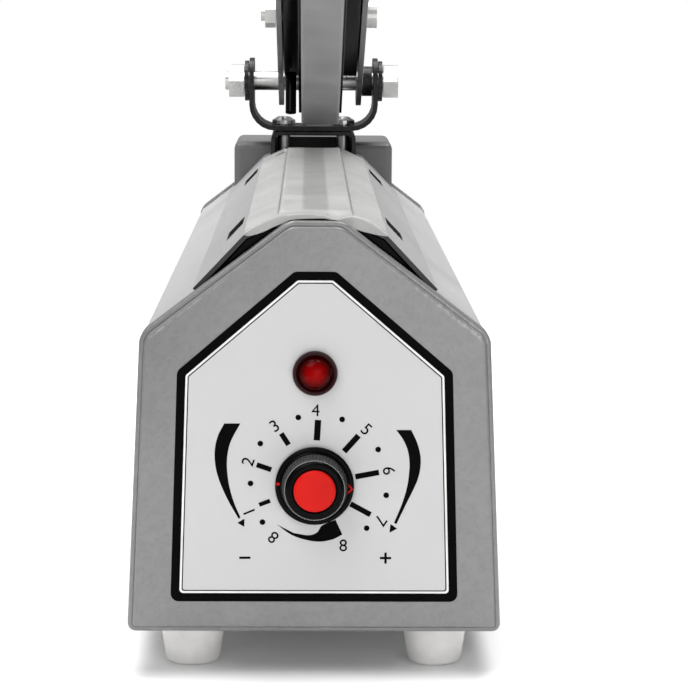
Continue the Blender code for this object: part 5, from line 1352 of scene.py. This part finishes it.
SHEET_PIECES = (
    ("body_shell", "base", 0.0008, "shell"), ("cover_left", "base", 0.00035, "cover"),
    ("cover_right", "base", 0.00035, "cover"), ("base_plate", "base", 0.0004, "steel"),
    ("hinge_saddle", "base", 0.0003, "black"), ("hinge_bracket", "base", 0.0003, "black"),
    ("arm_channel", "arm", 0.00045, "arm"), ("strip_carrier", "arm", 0.0004, "plastic"),
    ("silicone_strip", "arm", 0.0003, "silicone"), ("heating_bar", "base", 0.0002, "aluminium"),
    ("switch_bracket", "base", 0.0002, "steel"), ("microswitch", "base", 0.0004, "plastic"),
    ("element_clamp_front", "base", 0.0003, "black bolt"), ("element_clamp_rear", "base", 0.0003, "brass"),
    ("transformer_core", "base", 0.0003, "steel"), ("transformer_strap", "base", 0.0003, "steel"),
    ("transformer_coil", "base", 0.0004, "copper"), ("relay", "base", 0.0006, "relay"),
    ("timer_board", "base", 0.0002, "board"),
)

DRESSED = {
    "zinc": ["cross_bolt_rear", "cross_bolt_front", "cross_nut_rear", "cross_nut_front", "pivot_bolt",
             "pivot_nut", "bracket_bolt_left", "bracket_bolt_right", "bracket_nut_left",
             "bracket_nut_right", "potentiometer", "pot_nut", "pot_shaft"],
    "black": ["pivot_washer_left", "pivot_washer_right", "pivot_spacer"],
    "block": ["rear_block"],
    "plastic": ["lamp_body", "plunger_guide", "cord_gland", "capacitor", "handle", "switch_pusher"],
    "white": ["switch_plunger"],
    "alloy": ["heating_element"],
}


# Operators: each makes one group of pieces and raises if a piece can't be made

class SEALER_OT_finishes(bpy.types.Operator):
    """Gives the frame's own pieces their finishes and rounds the edges of the folded and cut ones"""

    bl_idname = "sealer.finishes"
    bl_label = "Finishes"

    def execute(self, context):
        build_groups()
        build_materials()
        for key, names in DRESSED.items():
            dress(names, key)
        for name, body, width, key in SHEET_PIECES:
            obj = refined(name, width, body)
            dress([obj.name], key)
        return {"FINISHED"}


class SEALER_OT_caps(bpy.types.Operator):
    """Makes the two cast end caps"""

    bl_idname = "sealer.caps"
    bl_label = "End caps"

    def execute(self, context):
        make_cap("front_cap_casting", "front_cap", FACE_Y, 1.0)
        make_cap("rear_cap_casting", "rear_cap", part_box("rear_cap")[1].y, -1.0)
        return {"FINISHED"}


class SEALER_OT_label(bpy.types.Operator):
    """Makes the front label and the dial printed on it"""

    bl_idname = "sealer.label"
    bl_label = "Label and dial"

    def execute(self, context):
        layers = label_layers()
        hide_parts("label_plate")
        for piece in layers:
            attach(piece, "base")
        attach(make_dial(), "base")
        return {"FINISHED"}


class SEALER_OT_controls(bpy.types.Operator):
    """Makes the signal lamp and the timer knob"""

    bl_idname = "sealer.controls"
    bl_label = "Lamp and knob"

    def execute(self, context):
        for piece in make_lamp():
            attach(piece, "base")
        for piece in make_knob():
            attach(piece, "timer_knob")
        return {"FINISHED"}


class SEALER_OT_ridge(bpy.types.Operator):
    """Makes the coated cloth over the ridge and the black pieces that stand in for shade under the covers"""

    bl_idname = "sealer.ridge"
    bl_label = "Cloth over the ridge"

    def execute(self, context):
        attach(make_cloth(), "base")
        for side in (-1.0, 1.0):
            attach(cover_shade_plug(side), "base")
            for y in SLOT_PLACES:
                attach(slot_shade_sheet(side, y), "base")
        return {"FINISHED"}


class SEALER_OT_hinge(bpy.types.Operator):
    """Makes the return spring, which reaches from the base to the arm"""

    bl_idname = "sealer.hinge"
    bl_label = "Hinge spring"

    def execute(self, context):
        make_spring()
        return {"FINISHED"}


class SEALER_OT_feet(bpy.types.Operator):
    """Makes the four rubber feet and their screws"""

    bl_idname = "sealer.feet"
    bl_label = "Feet"

    def execute(self, context):
        for end in ("front", "rear"):
            for hand in ("left", "right"):
                for piece in make_foot("foot_%s_%s" % (end, hand)):
                    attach(piece, "base")
        return {"FINISHED"}


# The stage

CAMERA_PLACE = (-0.0017, -0.648152, 0.1466)
CAMERA_DOWN = math.radians(8.42)
CAMERA_RIGHT = math.radians(0.89)
CAMERA_ROLL = math.radians(0.35)


def make_camera():
    """The camera where the photograph was taken."""
    data = bpy.data.cameras.new("camera")
    data.lens = sizes().lens
    data.sensor_width = 36.0
    data.clip_start = 0.01
    data.clip_end = 50.0
    camera = bpy.data.objects.new("camera", data)
    bpy.context.scene.collection.objects.link(camera)
    level_look = Matrix.Rotation(math.pi / 2.0 - CAMERA_DOWN, 4, "X")
    look = Matrix.Rotation(-CAMERA_RIGHT, 4, "Z") @ level_look
    roll = Matrix.Rotation(CAMERA_ROLL, 4, "Z")
    camera.matrix_world = Matrix.Translation(CAMERA_PLACE) @ look @ roll
    bpy.context.scene.camera = camera


def make_light(name, place, aim, size, power):
    """A soft square light that looks at a point."""
    data = bpy.data.lights.new(name, "AREA")
    data.shape = "SQUARE"
    data.size = size
    data.energy = power
    light = bpy.data.objects.new(name, data)
    bpy.context.scene.collection.objects.link(light)
    way = Vector(aim) - Vector(place)
    light.matrix_world = Matrix.Translation(place) @ way.to_track_quat("-Z", "Y").to_matrix().to_4x4()


def backdrop_world():
    """A white room: white to the camera and a softer grey to everything that it lights."""
    world = bpy.data.worlds.new("white room")
    world.use_nodes = True
    bpy.context.scene.world = world
    tree = world.node_tree
    ground = tree.nodes["Background"]
    path = tree.nodes.new("ShaderNodeLightPath")
    mix = tree.nodes.new("ShaderNodeMix")
    mix.data_type = "RGBA"
    mix.inputs["A"].default_value = (0.31, 0.31, 0.31, 1.0)
    mix.inputs["B"].default_value = (1.0, 1.0, 1.0, 1.0)
    tree.links.new(path.outputs["Is Camera Ray"], mix.inputs["Factor"])
    tree.links.new(mix.outputs["Result"], ground.inputs["Color"])
    ground.inputs["Strength"].default_value = 1.0


def floor_material():
    """A white table that keeps its soft shadow under the sealer; in front of the sealer it glows for the
    camera as painted light.
    """
    finish = Finish("white table", (0.93, 0.93, 0.93), 0.7)
    finish.set(Specular_IOR_Level=0.1, Emission_Color=(1.0, 1.0, 1.0, 1.0))
    tree = finish.tree
    shader = finish.shader
    where, _, along, _ = object_axes(tree)
    distance = vector_value(tree, "LENGTH", where).outputs["Value"]
    tree.links.new(stretch_range(tree, distance, 0.30, 0.75, 1.0, 0.0), shader.inputs["Alpha"])
    path = tree.nodes.new("ShaderNodeLightPath")
    # Painted light: the table glows for the camera in front of the sealer's face, which washes out the shadow
    # there.
    near = stretch_range(tree, along, FACE_Y - 0.009, FACE_Y + 0.006, 0.42, 0.04)
    painted_light_lift = combine(tree, "MULTIPLY", path.outputs["Is Camera Ray"], near)
    tree.links.new(painted_light_lift, shader.inputs["Emission Strength"])
    return finish.material


class SEALER_OT_stage(bpy.types.Operator):
    """Sets the table, the white room, the lights and the camera"""

    bl_idname = "sealer.stage"
    bl_label = "Stage"

    def execute(self, context):
        bm = bmesh.new()
        bmesh.ops.create_grid(bm, x_segments=1, y_segments=1, size=6.0)
        link_mesh("table", bm, floor_material())
        backdrop_world()
        make_light("key", (-0.45, -0.64, 1.0), (0.0, 0.0, 0.06), 0.7, 6.2)
        make_light("fill", (0.22, -1.20, 0.14), (0.0, -0.05, 0.06), 0.8, 2.9)
        make_light("top", (0.05, 0.15, 1.15), (0.0, 0.0, 0.05), 0.9, 19.0)
        make_camera()
        context.scene.view_settings.view_transform = "Standard"
        return {"FINISHED"}


class SEALER_PT_looks(bpy.types.Panel):
    """Lists the sealer's steps and settings"""

    bl_label = "Impulse sealer"
    bl_idname = "SEALER_PT_looks"
    bl_space_type = "VIEW_3D"
    bl_region_type = "UI"
    bl_category = "Sealer"

    def draw(self, context):
        column = self.layout.column()
        for operator in STEPS:
            column.operator(operator.bl_idname)
        for settings in (context.scene.sealer_colours, context.scene.sealer_sizes):
            for name in settings.bl_rna.properties.keys():
                if name not in {"rna_type", "name"}:
                    column.prop(settings, name)


STEPS = (
    SEALER_OT_finishes, SEALER_OT_caps, SEALER_OT_label, SEALER_OT_controls, SEALER_OT_ridge, SEALER_OT_hinge,
    SEALER_OT_feet, SEALER_OT_stage,
)
CLASSES = (SealerColours, SealerSizes, *STEPS, SEALER_PT_looks)


def register():
    for cls in CLASSES:
        bpy.utils.register_class(cls)
    bpy.types.Scene.sealer_colours = PointerProperty(type=SealerColours)
    bpy.types.Scene.sealer_sizes = PointerProperty(type=SealerSizes)


def unregister():
    del bpy.types.Scene.sealer_sizes
    del bpy.types.Scene.sealer_colours
    for cls in reversed(CLASSES):
        bpy.utils.unregister_class(cls)


def main():
    register()
    for operator in STEPS:
        group, name = operator.bl_idname.split(".")
        getattr(getattr(bpy.ops, group), name)()


if __name__ == "__main__":
    main()
